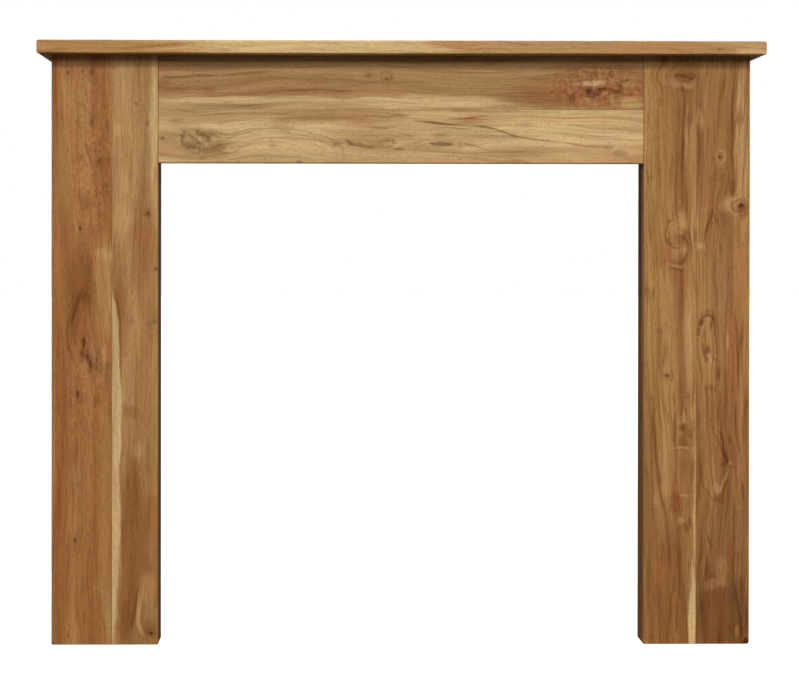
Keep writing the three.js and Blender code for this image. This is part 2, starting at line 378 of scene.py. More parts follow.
# Golden brown wood, swirled at two thirds of its height, with a cream edge near the foot
RIGHT_INNER_WOOD = Timber(
    light=seen(165, 122, 76),
    dark=seen(138, 95, 54),
    seed=23.0,
    pith=(0.20, 0.30),
    streaks=0.65,
    lines=0.6,
    stains=[
        Stain(GOLDEN, (0.750, 0.487), (0.400, 0.032), 0.60, 0.6),
        Stain(BROWN, (0.090, 0.494), (0.150, 0.034), 0.75, 0.6),
        Stain(UMBER, (0.100, 0.503), (0.160, 0.055), 0.30, 0.7),
        Stain(BROWN, (0.295, 0.476), (0.120, 0.016), 0.50, 0.7),
        Stain(BROWN, (0.900, 0.528), (0.060, 0.009), 0.35, 0.7),
        Stain(RED, (0.739, 0.503), (0.028, 0.023), 0.50, 0.6),
        Stain(RED, (0.699, 0.529), (0.023, 0.015), 0.50, 0.6),
        Stain(PALE, (0.799, 0.527), (0.016, 0.019), 0.55, 0.7, 0.6),
        Stain(PALE, (0.748, 0.527), (0.012, 0.011), 0.50, 0.7, 0.6),
        Stain(PALE, (0.719, 0.524), (0.005, 0.014), 0.40, 0.7, 0.5),
        Stain(PALE, (0.572, 0.548), (0.085, 0.011), 0.55),
        Stain(GOLDEN, (0.312, 0.497), (0.048, 0.011), 0.40, 0.6),
        Stain(BROWN, (0.345, 0.514), (0.070, 0.014), 0.40, 0.7),
        Stain(RED, (0.303, 0.520), (0.024, 0.008), 0.55, 0.6),
        Stain(BROWN, (0.341, 0.539), (0.018, 0.009), 0.50, 0.6),
        Stain(RED, (0.132, 0.497), (0.028, 0.015), 0.50, 0.6),
        Stain(PALE, (0.872, 0.480), (0.015, 0.004), 0.40),
        Stain(PALE, (0.365, 0.555), (0.015, 0.006)),
        Stain(PALE, (0.441, 0.556), (0.015, 0.005)),
        Stain(PALE, (0.235, 0.533), (0.008, 0.006)),
        Stain(PALE, (0.430, 0.537), (0.010, 0.004), 0.60),
        Stain(BROWN, (1.033, 0.493), (0.008, 0.006)),
        Stain(BROWN, (0.593, 0.492), (0.005, 0.007)),
        Stain(DARK, (0.805, 0.506), (0.006, 0.005), 0.40),
        Stain(DARK, (0.712, 0.527), (0.003, 0.012), 0.40),
        Stain(DARK, (0.672, 0.477), (0.011, 0.0026)),
        Stain(DARK, (0.468, 0.546), (0.006, 0.004)),
        Stain(DARK, (0.411, 0.537), (0.007, 0.008), 0.60),
        Stain(DARK, (0.400, 0.548), (0.010, 0.006)),
        Stain(DARK, (0.382, 0.537), (0.013, 0.008)),
        Stain(DARK, (0.223, 0.542), (0.010, 0.006), 0.55),
        Stain(DARK, (0.231, 0.552), (0.010, 0.004), 0.55),
        Stain(OLIVE, (0.274, 0.488), (0.015, 0.005)),
        Stain(PALE, (0.335, 0.501), (0.070, 0.009), 0.35, 0.7),
        Stain(PALE, (0.373, 0.533), (0.0022, 0.026), 0.40, 0.5, 0.1),
        Stain(PALE, (0.284, 0.541), (0.0022, 0.018), 0.40, 0.5, 0.1),
        Stain(RED_KNOT, (0.268, 0.522), (0.019, 0.008), 0.50, 0.7, 0.5),
        streak(DARK, (1.045, 0.5255), (0.985, 0.5275), 0.55, 0.0018),
        streak(KNOT, (1.035, 0.5375), (0.868, 0.534), 0.60, 0.0019),
        streak(DARK, (0.985, 0.5415), (0.935, 0.537), 0.40, 0.0018),
        streak(PALE, (1.020, 0.543), (0.930, 0.541), 0.40, 0.0030),
        streak(DARK, (0.934, 0.516), (0.858, 0.508), 0.35, 0.0034),
        streak(DARK, (0.862, 0.533), (0.828, 0.533), 0.45),
        streak(DARK, (0.862, 0.542), (0.828, 0.543), 0.45),
        streak(DARK, (0.776, 0.507), (0.757, 0.514), 0.60, 0.0024),
        streak(DARK, (0.745, 0.540), (0.728, 0.533), 0.50, 0.0024),
        streak(DARK, (0.822, 0.547), (0.745, 0.549), 0.35, 0.0018),
        streak(PALE, (0.830, 0.5525), (0.760, 0.554), 0.45, 0.0026),
        streak(DARK, (0.530, 0.528), (0.455, 0.530)),
        streak(DARK, (0.476, 0.515), (0.449, 0.520)),
        streak(KNOT, (0.449, 0.520), (0.369, 0.523), 0.55, 0.0026),
        streak(DARK, (0.458, 0.478), (0.341, 0.486), 0.70, 0.0034),
        streak(DARK, (0.341, 0.486), (0.288, 0.493), 0.65, 0.0032),
        streak(DARK, (0.288, 0.493), (0.252, 0.503), 0.55, 0.0032),
        streak(DARK, (0.450, 0.532), (0.428, 0.532)),
        streak(DARK, (0.450, 0.542), (0.430, 0.541), 0.45),
        streak(DARK, (0.193, 0.533), (0.140, 0.530)),
        streak(DARK, (0.132, 0.522), (0.009, 0.508), 0.55),
        streak(DARK, (0.123, 0.530), (0.009, 0.523)),
        streak(PALE, (0.370, 0.5595), (0.160, 0.5595), 0.70, 0.0028),
        Stain(CREAM, (0.050, 0.557), (0.090, 0.010), 0.85, 0.25),
    ],
    arcs=[
        Arc(PALE, (1.082, 0.537), (0.020, 0.025), 0.45, (-1.0, 0.0), 0.40),
        Arc(DARK, (0.782, 0.5240), (0.027, 0.0225), 0.16, (-0.3, -0.95), 0.60),
        Arc(DARK, (0.783, 0.5245), (0.019, 0.0150), 0.18, (-0.3, -0.95), 0.25),
        Arc(KNOT, (0.751, 0.5225), (0.028, 0.0215), 0.20, (-0.35, 0.93), 0.50),
        Arc(DARK, (0.751, 0.5230), (0.040, 0.0280), 0.12, (-0.35, 0.93), 0.35),
        Arc(KNOT, (0.268, 0.522), (0.017, 0.008), 0.40, (0.0, 0.0), 0.25),
    ],
    knots=[
        KnotMark((1.079, 0.533), (0.0045, 0.0155), 0.70, 0.7),
        KnotMark((1.076, 0.550), (0.005, 0.0060), 0.75),
        KnotMark((1.057, 0.535), (0.004, 0.0030), 0.45),
        KnotMark((0.510, 0.505), (0.005, 0.0060), 0.70),
        KnotMark((0.277, 0.524), (0.007, 0.0040), 0.50, 0.7, RED_KNOT),
        KnotMark((0.257, 0.520), (0.003, 0.0060), 0.60, 0.5, RED_KNOT),
    ],
)

# Brown wood with long dark lines, swirled round several knots, and dark at the crushed foot
RIGHT_OUTER_WOOD = Timber(
    light=seen(162, 119, 73),
    dark=seen(140, 97, 58),
    seed=37.0,
    pith=(0.95, 0.30),
    streaks=0.8,
    lines=0.7,
    stains=[
        Stain(BROWN, (0.960, 0.604), (0.150, 0.032), 0.55, 0.7),
        Stain(UMBER, (0.220, 0.613), (0.080, 0.060), 0.32, 0.7),
        Stain(BROWN, (0.340, 0.574), (0.220, 0.014), 0.50, 0.7),
        Stain(GOLDEN, (0.680, 0.649), (0.240, 0.013), 0.55, 0.7),
        Stain(GOLDEN, (0.580, 0.592), (0.090, 0.032), 0.45, 0.7),
        Stain(UMBER, (0.055, 0.609), (0.110, 0.064), 0.90, 0.6),
        Stain(PALE, (1.002, 0.567), (0.018, 0.007), 0.60, 0.6),
        Stain(PALE, (0.965, 0.649), (0.130, 0.014), 0.75, 0.6),
        Stain(BROWN, (0.890, 0.600), (0.013, 0.011), 0.50, 0.6),
        Stain(PALE, (0.838, 0.624), (0.013, 0.013), 0.55, 0.7, 0.6),
        Stain(PALE, (0.756, 0.567), (0.008, 0.008), 0.65, 0.6),
        Stain(GOLDEN, (0.142, 0.611), (0.028, 0.010), 0.40, 0.6),
        Stain(OLIVE, (0.113, 0.596), (0.011, 0.023), 0.40, 0.6),
        Stain(RED_KNOT, (0.166, 0.631), (0.034, 0.006), 0.45),
        Stain(PALE, (0.297, 0.600), (0.012, 0.008), 0.45, 0.6),
        Stain(PALE, (0.597, 0.569), (0.010, 0.003), 0.50),
        Stain(PALE, (0.547, 0.587), (0.006, 0.006), 0.45),
        Stain(PALE, (0.574, 0.621), (0.015, 0.0022)),
        Stain(PALE, (0.348, 0.627), (0.005, 0.003), 0.60),
        Stain(DARK, (0.872, 0.629), (0.015, 0.006), 0.55),
        Stain(DARK, (0.923, 0.595), (0.004, 0.003)),
        Stain(DARK, (0.822, 0.652), (0.014, 0.009), 0.55),
        Stain(KNOT, (0.610, 0.569), (0.006, 0.005), 0.65),
        Stain(DARK, (0.593, 0.564), (0.011, 0.003), 0.60),
        Stain(DARK, (0.606, 0.587), (0.008, 0.003), 0.60),
        Stain(DARK, (0.589, 0.575), (0.011, 0.0024)),
        Stain(DARK, (0.544, 0.581), (0.004, 0.003), 0.60),
        Stain(DARK, (0.546, 0.594), (0.004, 0.005), 0.45),
        Stain(DARK, (0.517, 0.604), (0.011, 0.004), 0.45),
        Stain(DARK, (0.487, 0.589), (0.006, 0.009), 0.45),
        Stain(DARK, (0.341, 0.611), (0.006, 0.005), 0.45),
        Stain(DARK, (0.394, 0.622), (0.010, 0.003)),
        Stain(DARK, (0.274, 0.606), (0.006, 0.010), 0.45),
        Stain(DARK, (0.034, 0.627), (0.011, 0.008)),
        Stain(GOLDEN, (0.028, 0.639), (0.011, 0.004), 0.40),
        Stain(BRUISE, (0.004, 0.659), (0.008, 0.007), 0.80, 0.6),
        streak(DARK, (0.998, 0.584), (0.938, 0.579), 0.45),
        streak(DARK, (1.033, 0.630), (0.862, 0.629), 0.60, 0.0028),
        streak(DARK, (1.080, 0.614), (1.042, 0.613), 0.45),
        streak(PALE, (0.815, 0.5615), (0.750, 0.5615), 0.75, 0.0020),
        streak(DARK, (0.828, 0.592), (0.775, 0.579), 0.60, 0.0032),
        streak(DARK, (0.824, 0.592), (0.794, 0.604), 0.45, 0.0032),
        streak(DARK, (0.767, 0.608), (0.729, 0.608), 0.40),
        streak(DARK, (0.720, 0.623), (0.691, 0.623), 0.40),
        streak(DARK, (0.635, 0.636), (0.483, 0.641), 0.55, 0.0020),
        streak(DARK, (0.477, 0.608), (0.386, 0.609), 0.50, 0.0020),
        streak(DARK, (0.424, 0.590), (0.356, 0.6135), 0.50, 0.0020),
        streak(DARK, (0.341, 0.571), (0.303, 0.573), 0.45, 0.0020),
        streak(DARK, (0.303, 0.573), (0.272, 0.598), 0.50, 0.0022),
        streak(PALE, (0.326, 0.6215), (0.288, 0.606), 0.45, 0.0030),
        streak(DARK, (0.356, 0.639), (0.280, 0.639), 0.45, 0.0020),
        streak(DARK, (0.487, 0.577), (0.455, 0.592), 0.45),
        streak(DARK, (0.455, 0.604), (0.426, 0.604)),
        streak(KNOT, (0.409, 0.608), (0.377, 0.611), 0.55, 0.0026),
        streak(KNOT, (0.377, 0.611), (0.350, 0.620), 0.70, 0.0042),
        streak(DARK, (0.341, 0.588), (0.280, 0.599)),
        streak(DARK, (0.312, 0.621), (0.274, 0.608)),
        streak(DARK, (0.365, 0.571), (0.327, 0.571)),
        streak(DARK, (0.322, 0.574), (0.284, 0.574), 0.45),
        streak(KNOT, (0.312, 0.648), (0.272, 0.652), 0.55, 0.0028),
        streak(DARK, (0.265, 0.635), (0.189, 0.635), 0.55),
        streak(DARK, (0.206, 0.584), (0.178, 0.591), 0.65, 0.0028),
        streak(KNOT, (0.113, 0.636), (0.066, 0.643), 0.55, 0.0028),
        streak(KNOT, (0.066, 0.643), (0.016, 0.652), 0.55, 0.0028),
    ],
    arcs=[
        Arc(PALE, (0.927, 0.607), (0.012, 0.008), 0.4, (0.0, 0.0), 0.45),
        Arc(KNOT, (0.597, 0.582), (0.030, 0.0145), 0.20, (1.0, -0.2), 0.60),
        Arc(DARK, (0.580, 0.583), (0.056, 0.021), 0.14, (1.0, 0.0), 0.30),
        Arc(DARK, (0.835, 0.648), (0.013, 0.0200), 0.22, (0.0, -1.0), 0.45),
        Arc(PALE, (0.836, 0.648), (0.018, 0.0270), 0.20, (0.0, -1.0), 0.35),
    ],
    knots=[
        KnotMark((0.926, 0.606), (0.006, 0.0034), 0.85, 0.7),
        KnotMark((0.834, 0.648), (0.006, 0.0105), 0.90, 0.7),
        KnotMark((0.562, 0.583), (0.009, 0.0070), 0.65),
        KnotMark((0.350, 0.619), (0.006, 0.0050), 0.75),
    ],
)

# Tan wood with a burl near the right end and cream sapwood along its lower edge
FRIEZE_UPPER_WOOD = Timber(
    light=seen(167, 130, 87),
    dark=seen(147, 109, 69),
    seed=51.0,
    pith=(1.40, 0.25),
    waver=0.022,
    streaks=0.5,
    lines=0.45,
    stains=[
        Stain(OLIVE, (0.060, 1.062), (0.150, 0.024), 0.60, 0.6),
        Stain(OLIVE, (-0.226, 1.078), (0.026, 0.009), 0.40, 0.6),
        Stain(BROWN, (-0.446, 1.065), (0.012, 0.022), 0.45, 0.6),
        Stain(BROWN, (-0.426, 1.052), (0.020, 0.006), 0.45, 0.6),
        Stain(BROWN, (-0.365, 1.054), (0.010, 0.006), 0.45, 0.6),
        Stain(BROWN, (0.275, 1.037), (0.070, 0.019), 0.60, 0.6),
        Stain(RED, (0.380, 1.055), (0.110, 0.050), 0.80, 0.6),
        streak(DARK, (-0.441, 1.076), (-0.345, 1.080), 0.55, 0.0030),
        streak(DARK, (-0.345, 1.080), (-0.250, 1.089), 0.55, 0.0026),
        streak(BROWN, (-0.200, 1.052), (-0.080, 1.054), 0.40),
        Stain(TAN, (-0.200, 1.016), (0.480, 0.0255), 0.90, 0.18, 0.15),
        Stain(CREAM, (-0.290, 1.034), (0.170, 0.0050), 0.65, 0.5),
        Stain(CREAM, (0.040, 1.029), (0.120, 0.0120), 0.75, 0.5),
        streak(OLIVE, (-0.450, 1.023), (-0.190, 1.024), 0.45, 0.0040),
        Stain(PALE, (0.436, 1.029), (0.024, 0.011), 0.75),
        streak(GOLDEN, (0.322, 1.0655), (0.346, 1.0660), 0.60, 0.0044),
        streak(CREAM, (0.337, 1.0668), (0.385, 1.0675), 0.90, 0.0052),
        streak(KNOT, (0.382, 1.0555), (0.410, 1.0525), 0.60, 0.0032),
        Stain(PALE, (0.437, 1.066), (0.011, 0.006), 0.60),
    ],
    burls=[Burl((0.372, 1.058), (0.098, 0.044), KNOT, PALE, 0.50)],
    arcs=[Arc(DARK, (-0.028, 1.078), (0.011, 0.009), 0.6, (0.6, 0.5), 0.30)],
    knots=[
        KnotMark((-0.062, 1.083), (0.006, 0.006), 0.40),
        KnotMark((-0.026, 1.074), (0.006, 0.003), 0.65),
        KnotMark((0.356, 1.051), (0.011, 0.0060), 0.80, 0.8, PLUM),
        KnotMark((0.365, 1.047), (0.006, 0.0045), 0.70, 0.5, PLUM),
        KnotMark((0.380, 1.0545), (0.006, 0.0040), 0.80, 0.7),
        KnotMark((0.411, 1.050), (0.006, 0.004), 0.70),
        KnotMark((0.432, 1.073), (0.005, 0.003), 0.60),
        KnotMark((0.327, 1.080), (0.003, 0.008), 0.50),
        KnotMark((0.324, 1.039), (0.004, 0.006), 0.50),
        KnotMark((0.366, 1.038), (0.003, 0.006), 0.60),
    ],
)

# Cream and tan wood: a swirl of knots near the left end, an arch beside it, and fine dark lines
FRIEZE_LOWER_WOOD = Timber(
    light=seen(199, 167, 120),
    dark=seen(172, 136, 91),
    seed=67.0,
    pith=(0.70, 0.20),
    waver=0.03,
    streaks=0.55,
    lines=0.55,
    stains=[
        Stain(CREAM, (0.290, 0.975), (0.080, 0.016), 0.50, 0.6),
        Stain(CREAM, (0.310, 0.998), (0.180, 0.020), 0.65, 0.6),
        Stain(CREAM, (-0.195, 0.944), (0.090, 0.020), 0.55, 0.7),
        Stain(CREAM, (0.300, 0.930), (0.150, 0.012), 0.35, 0.7),
        Stain(TAN, (-0.320, 1.009), (0.150, 0.009), 0.60, 0.6),
        Stain(OLIVE, (-0.045, 0.962), (0.080, 0.016), 0.60, 0.7),
        Stain(OLIVE, (-0.160, 1.002), (0.064, 0.012), 0.90, 0.6),
        Stain(OLIVE, (0.240, 0.936), (0.055, 0.012), 0.45, 0.6),
        Stain(OLIVE, (-0.065, 0.990), (0.055, 0.018), 0.40, 0.7),
        Stain(OLIVE, (0.110, 0.965), (0.100, 0.014), 0.30, 0.7),
        Stain(OLIVE, (-0.410, 0.963), (0.042, 0.022), 0.50, 0.7),
        Stain(OLIVE, (-0.372, 0.950), (0.048, 0.026), 0.75, 0.6),
        Stain(WALNUT, (-0.372, 0.940), (0.026, 0.010), 0.55, 0.6),
        Stain(WALNUT, (-0.344, 0.942), (0.010, 0.008), 0.45, 0.6),
        Stain(WALNUT, (-0.378, 0.925), (0.008, 0.004)),
        Stain(WALNUT, (-0.122, 0.949), (0.008, 0.004), 0.55),
        Stain(WALNUT, (0.398, 0.946), (0.010, 0.003)),
        Stain(WALNUT, (0.417, 0.935), (0.012, 0.007), 0.55),
        Stain(WALNUT, (0.154, 1.003), (0.008, 0.002)),
        Stain(RED, (-0.080, 1.000), (0.025, 0.012), 0.30, 0.7),
        Stain(CREAM, (0.060, 1.002), (0.064, 0.011), 0.75, 0.6),
        streak(WALNUT, (-0.022, 1.0055), (0.012, 1.004), 0.70, 0.0024),
        Stain(RED, (0.134, 0.995), (0.030, 0.0080), 0.40, 0.7),
        Stain(RED, (0.236, 0.988), (0.018, 0.0045), 0.35, 0.7),
        Stain(SMOKE, (-0.194, 0.9165), (0.008, 0.0030), 0.60),
        streak(RED_KNOT, (0.116, 1.000), (0.148, 1.001), 0.65, 0.0022),
        streak(WALNUT, (-0.250, 1.009), (-0.200, 1.007)),
        streak(WALNUT, (-0.240, 0.999), (-0.130, 0.999)),
        streak(WALNUT, (-0.062, 1.005), (-0.015, 1.001)),
        streak(WALNUT, (-0.062, 0.985), (-0.020, 0.982)),
        streak(WALNUT, (-0.096, 0.946), (-0.050, 0.945)),
        streak(WALNUT, (-0.005, 0.973), (0.024, 0.963)),
        streak(WALNUT, (0.052, 0.967), (0.086, 0.967)),
        streak(WALNUT, (0.090, 1.000), (0.122, 1.000)),
        streak(WALNUT, (0.118, 0.955), (0.160, 0.941), 0.55),
        streak(DARK, (0.030, 0.994), (0.116, 0.988), 0.65, 0.0023),
        streak(DARK, (0.143, 0.985), (0.178, 0.979), 0.65, 0.0023),
        streak(DARK, (0.178, 0.979), (0.223, 0.963), 0.60, 0.0023),
        streak(DARK, (0.223, 0.963), (0.300, 0.954), 0.55, 0.0023),
        streak(DARK, (0.300, 0.954), (0.400, 0.945), 0.45),
        streak(WALNUT, (-0.096, 0.948), (-0.056, 0.944), 0.60, 0.0034),
        streak(SMOKE, (-0.107, 0.959), (-0.091, 0.9465), 0.75, 0.0028),
        streak(SMOKE, (-0.386, 0.975), (-0.366, 0.964), 0.60, 0.0032),
        streak(SMOKE, (-0.374, 0.950), (-0.364, 0.966), 0.60, 0.0034),
        streak(CREAM, (-0.396, 0.970), (-0.378, 0.956), 0.70, 0.0032),
        streak(DARK, (-0.030, 0.944), (-0.012, 0.945)),
        streak(DARK, (-0.014, 0.939), (0.006, 0.938), 0.60),
    ],
    burls=[Burl((-0.388, 0.956), (0.036, 0.024), WALNUT, CREAM, 0.6)],
    arcs=[
        Arc(WALNUT, (-0.232, 0.930), (0.125, 0.048), 0.07, (0.0, 1.0), 0.40),
        Arc(WALNUT, (-0.232, 0.930), (0.112, 0.040), 0.06, (0.0, 1.0), 0.30),
        Arc(WALNUT, (-0.232, 0.932), (0.085, 0.028), 0.12, (0.0, 1.0), 0.25),
        Arc(WALNUT, (-0.388, 0.950), (0.030, 0.028), 0.18, (0.0, 1.0), 0.30),
        Arc(SMOKE, (-0.403, 0.957), (0.013, 0.010), 0.5, (-0.4, 0.3), 0.50),
    ],
    knots=[
        KnotMark((-0.453, 0.960), (0.007, 0.005), 0.70, 0.6, SMOKE),
        KnotMark((-0.425, 0.994), (0.008, 0.003), 0.60, 0.6, SMOKE),
        KnotMark((-0.409, 0.972), (0.006, 0.004), 0.50, 0.6, SMOKE),
        KnotMark((-0.384, 0.974), (0.004, 0.007), 0.60, 0.6, SMOKE),
        KnotMark((-0.376, 0.967), (0.010, 0.003), 0.65, 0.6, SMOKE),
        KnotMark((-0.367, 0.960), (0.004, 0.008), 0.65, 0.6, SMOKE),
        KnotMark((-0.384, 0.953), (0.008, 0.003), 0.55, 0.6, SMOKE),
        KnotMark((-0.399, 0.946), (0.010, 0.003), 0.60, 0.6, SMOKE),
        KnotMark((-0.245, 0.948), (0.006, 0.004), 0.45, 0.6, SMOKE),
        KnotMark((-0.099, 0.952), (0.006, 0.0040), 0.40, 0.6, SMOKE),
        KnotMark((-0.028, 0.957), (0.008, 0.003), 0.60, 0.6, SMOKE),
        KnotMark((-0.016, 0.957), (0.004, 0.008), 0.50, 0.6, SMOKE),
        KnotMark((0.073, 0.951), (0.030, 0.0060), 0.80, 0.7, SMOKE),
        KnotMark((0.094, 0.952), (0.006, 0.002), 0.50, 0.6, SMOKE),
    ],
)

# Golden wood with a long stretch of cream sapwood left of the middle
SHELF_WOOD = Timber(
    light=seen(190, 150, 103),
    dark=seen(175, 134, 87),
    seed=83.0,
    pith=(0.80, 0.30),
    waver=0.02,
    streaks=0.4,
    lines=0.4,
    stains=[
        Stain(GOLDEN, (-0.600, 1.128), (0.170, 0.024), 0.90, 0.6),
        Stain(GOLDEN, (0.540, 1.130), (0.180, 0.024), 0.45, 0.7),
        Stain(CREAM, (-0.160, 1.122), (0.235, 0.0320), 0.95, 0.22, 0.15),
        streak(CREAM, (-0.040, 1.138), (0.120, 1.120), 0.60, 0.0028),
        streak(BROWN, (0.040, 1.1375), (0.110, 1.130), 0.35, 0.0014),
        streak(BROWN, (0.501, 1.129), (0.543, 1.123), 0.40, 0.0014),
        streak(BROWN, (-0.560, 1.128), (-0.500, 1.124), 0.35, 0.0014),
        streak(BROWN, (0.260, 1.133), (0.360, 1.131), 0.30, 0.0014),
        streak(CREAM, (-0.465, 1.122), (-0.405, 1.128), 0.60, 0.0022),
        Stain(TAN, (0.640, 1.138), (0.060, 0.008), 0.80, 0.7),
        Stain(TAN, (0.255, 1.132), (0.085, 0.010), 0.40, 0.7),
        Stain(GOLDEN, (-0.430, 1.122), (0.090, 0.005), 0.45, 0.6),
        Stain(CREAM, (0.658, 1.121), (0.034, 0.0066), 0.70, 0.4),
        Stain(RED, (-0.474, 1.131), (0.056, 0.003), 0.55, lean=0.06),
    ],
    knots=[KnotMark((0.594, 1.128), (0.008, 0.0024), 0.55)],
)

# Plain brown wood for the boards that take the legs back to the wall, darker beside the opening: the inner
# returns there carry painted shade
RETURN_WOOD_AND_SHADE = Timber(
    light=seen(155, 110, 66),
    dark=seen(130, 88, 50),
    seed=97.0,
    pith=(0.0, 0.3),
    stains=[
        # Painted shade all down the right leg's inner return, whose face beside the opening lies in shadow
        Stain(DARK, (0.550, 0.471), (0.900, 0.030, 0.060), 0.70, 0.3, 0.1),
        # Deeper painted shade on the upper part of the right leg's inner return, under the frieze
        Stain(KNOT, (0.800, 0.471), (0.120, 0.030, 0.060), 0.60, 0.6),
        # Painted shade all down the left leg's inner return, beside the opening
        Stain(KNOT, (0.550, -0.471), (0.900, 0.030, 0.060), 0.45, 0.3, 0.1),
    ],
)

TIMBERS = {
    "left_outer_wood": LEFT_OUTER_WOOD,
    "left_inner_wood": LEFT_INNER_WOOD,
    "right_inner_wood": RIGHT_INNER_WOOD,
    "right_outer_wood": RIGHT_OUTER_WOOD,
    "frieze_upper_wood": FRIEZE_UPPER_WOOD,
    "frieze_lower_wood": FRIEZE_LOWER_WOOD,
    "shelf_wood": SHELF_WOOD,
    "return_wood": RETURN_WOOD_AND_SHADE,
}

# The sides of a board's section: low and high across it, front and back in depth
SIDES = ("low", "high", "front", "back")


@dataclass
class Board:
    """One board: its wood, which way its grain runs, its arrises and the sides that lie open to view.
    Arrises go round the section: low front, high front, high back, low back."""
    node: str
    slot: str
    upright: bool
    arrises: tuple
    open_sides: tuple
    end_eases: tuple
    chipped: bool = False


def leg_boards(name, outer_is_low, chipped):
    """The four boards of one leg. On the left leg the outer side is the low one in X."""
    side = name.split("_")[0]
    outer = 0 if outer_is_low else 1
    inner = 1 - outer

    def front_board(part, show, own_chip):
        arrises = [SEAM_EASE, SEAM_EASE, HIDDEN_EASE, HIDDEN_EASE]
        arrises[show] = SHOW_EASE
        return Board(
            f"{name}_{part}_board",
            f"{side}_{part}_wood",
            True,
            tuple(arrises),
            ("front", SIDES[show]),
            (FOOT_EASE, END_EASE),
            own_chip,
        )

    def return_board(part, show):
        arrises = [SEAM_EASE, SEAM_EASE, HIDDEN_EASE, HIDDEN_EASE]
        back_arris = 3 - show
        arrises[back_arris] = WALL_EASE
        return Board(
            f"{name}_{part}_return",
            "return_wood",
            True,
            tuple(arrises),
            ("back", SIDES[show]),
            (FOOT_EASE, END_EASE),
        )

    return [
        front_board("outer", outer, chipped),
        front_board("inner", inner, False),
        return_board("outer", outer),
        return_board("inner", inner),
    ]


BOARDS = [
    Board(
        "shelf",
        "shelf_wood",
        False,
        (SHOW_EASE, SHELF_EASE, WALL_EASE, WALL_EASE),
        ("front", "low", "high", "back"),
        (SHELF_EASE, SHELF_EASE),
    ),
    Board(
        "frieze_upper_board",
        "frieze_upper_wood",
        False,
        (SEAM_EASE, SEAM_EASE, SEAM_EASE, SEAM_EASE),
        ("front", "back"),
        (JOINT_EASE, JOINT_EASE),
    ),
    Board(
        "frieze_lower_board",
        "frieze_lower_wood",
        False,
        (SHOW_EASE, SEAM_EASE, SEAM_EASE, WALL_EASE),
        ("front", "back", "low"),
        (JOINT_EASE, JOINT_EASE),
    ),
    *leg_boards("left_leg", True, False),
    *leg_boards("right_leg", False, True),
]


def face_shares(length):
    """Where a face of the section is divided: a holding row by each arris, and even steps between."""
    steps = max(1, round(length / GRID_ACROSS))
    hold = HOLDING_ROW / length
    return [hold] + [k / steps for k in range(1, steps)] + [1 - hold]


def arris_steps(radius):
    return ARRIS_STEPS if radius > SHARPEST_ROUND else 1


def section_outline(low, high, arrises, shares):
    """Points round a board's section from its low front arris, each with 1 on an arris, 0 on a face."""
    corners = [
        (low[0], low[1], 1, 1),
        (high[0], low[1], -1, 1),
        (high[0], high[1], -1, -1),
        (low[0], high[1], 1, -1),
    ]
    arcs = []
    for turn, ((across, depth, inward, backward), (radius, steps)) in enumerate(zip(corners, arrises)):
        centre = (across + inward * radius, depth + backward * radius)
        arc = []
        for k in range(steps + 1):
            angle = math.pi + (turn + k / steps) * math.pi / 2
            arc.append((centre[0] + radius * math.cos(angle), centre[1] + radius * math.sin(angle)))
        arcs.append(arc)
    points = []
    for turn, arc in enumerate(arcs):
        points += [(a, t, 1.0) for a, t in arc]
        start = arc[-1]
        end = arcs[(turn + 1) % len(arcs)][0]
        for share in shares[turn]:
            across = start[0] + (end[0] - start[0]) * share
            depth = start[1] + (end[1] - start[1]) * share
            points.append((across, depth, 0.0))
    return points


def end_rows(radius):
    """From an end inwards: how far in, and how far the outline draws in there to ease the end."""
    steps = arris_steps(radius)
    rows = []
    for k in range(steps + 1):
        angle = math.pi / 2 * (1 - k / steps)
        rows.append((radius * (1 - math.sin(angle)), radius * (1 - math.cos(angle))))
    return rows + [(radius + HOLDING_ROW, 0.0)]


def length_rows(start, end, eases):
    """Every station of the sweep along a board: its place, and how far the outline draws in."""
    low_rows = [(start + inward, drawn) for inward, drawn in end_rows(eases[0])]
    high_rows = [(end - inward, drawn) for inward, drawn in reversed(end_rows(eases[1]))]
    first = low_rows[-1][0]
    last = high_rows[0][0]
    steps = round((last - first) / GRID_ALONG)
    middle = [(first + (last - first) * k / steps, 0.0) for k in range(1, steps)]
    return low_rows + middle + high_rows


def planed_wave(seed):
    """A gentle unevenness over a planed face, from 0 to 1, as a function of along and across."""
    draw = random.Random(seed)
    waves = [
        (draw.uniform(*WAVES_ALONG), draw.uniform(*WAVES_ACROSS), draw.uniform(0, 2 * math.pi))
        for _ in range(PLANED_WAVES)
    ]

    def height(along, across):
        total = sum(math.sin(p * along + q * across + shift) for p, q, shift in waves)
        return 0.5 + 0.5 * total / len(waves)

    return height


def knot_hollow(knots, along, across):
    """How much of a knot's sink applies at a point of the show face."""
    total = 0.0
    for knot in knots:
        dl = (along - knot.at[0]) / knot.reach[0]
        da = (across - knot.at[1]) / knot.reach[1]
        total += knot.strength * math.exp(-dl * dl - da * da)
    return min(total, 1.0)


def crush_corner(points, corner):
    """Presses the foot's outer front corner in along its diagonal, unevenly."""
    even = 1 / math.sqrt(3)
    outward = (-even, even, -even)
    draw = random.Random(CHIP_SEED)
    crushed = []
    for point in points:
        depth = sum(o * (p - c) for o, p, c in zip(outward, point, corner))
        limit = -CHIP_REACH / math.sqrt(3) * (1 + CHIP_ROUGHNESS * draw.uniform(-1, 1))
        press = max(depth - limit, 0.0)
        crushed.append(tuple(p - o * press for o, p in zip(outward, point)))
    return crushed


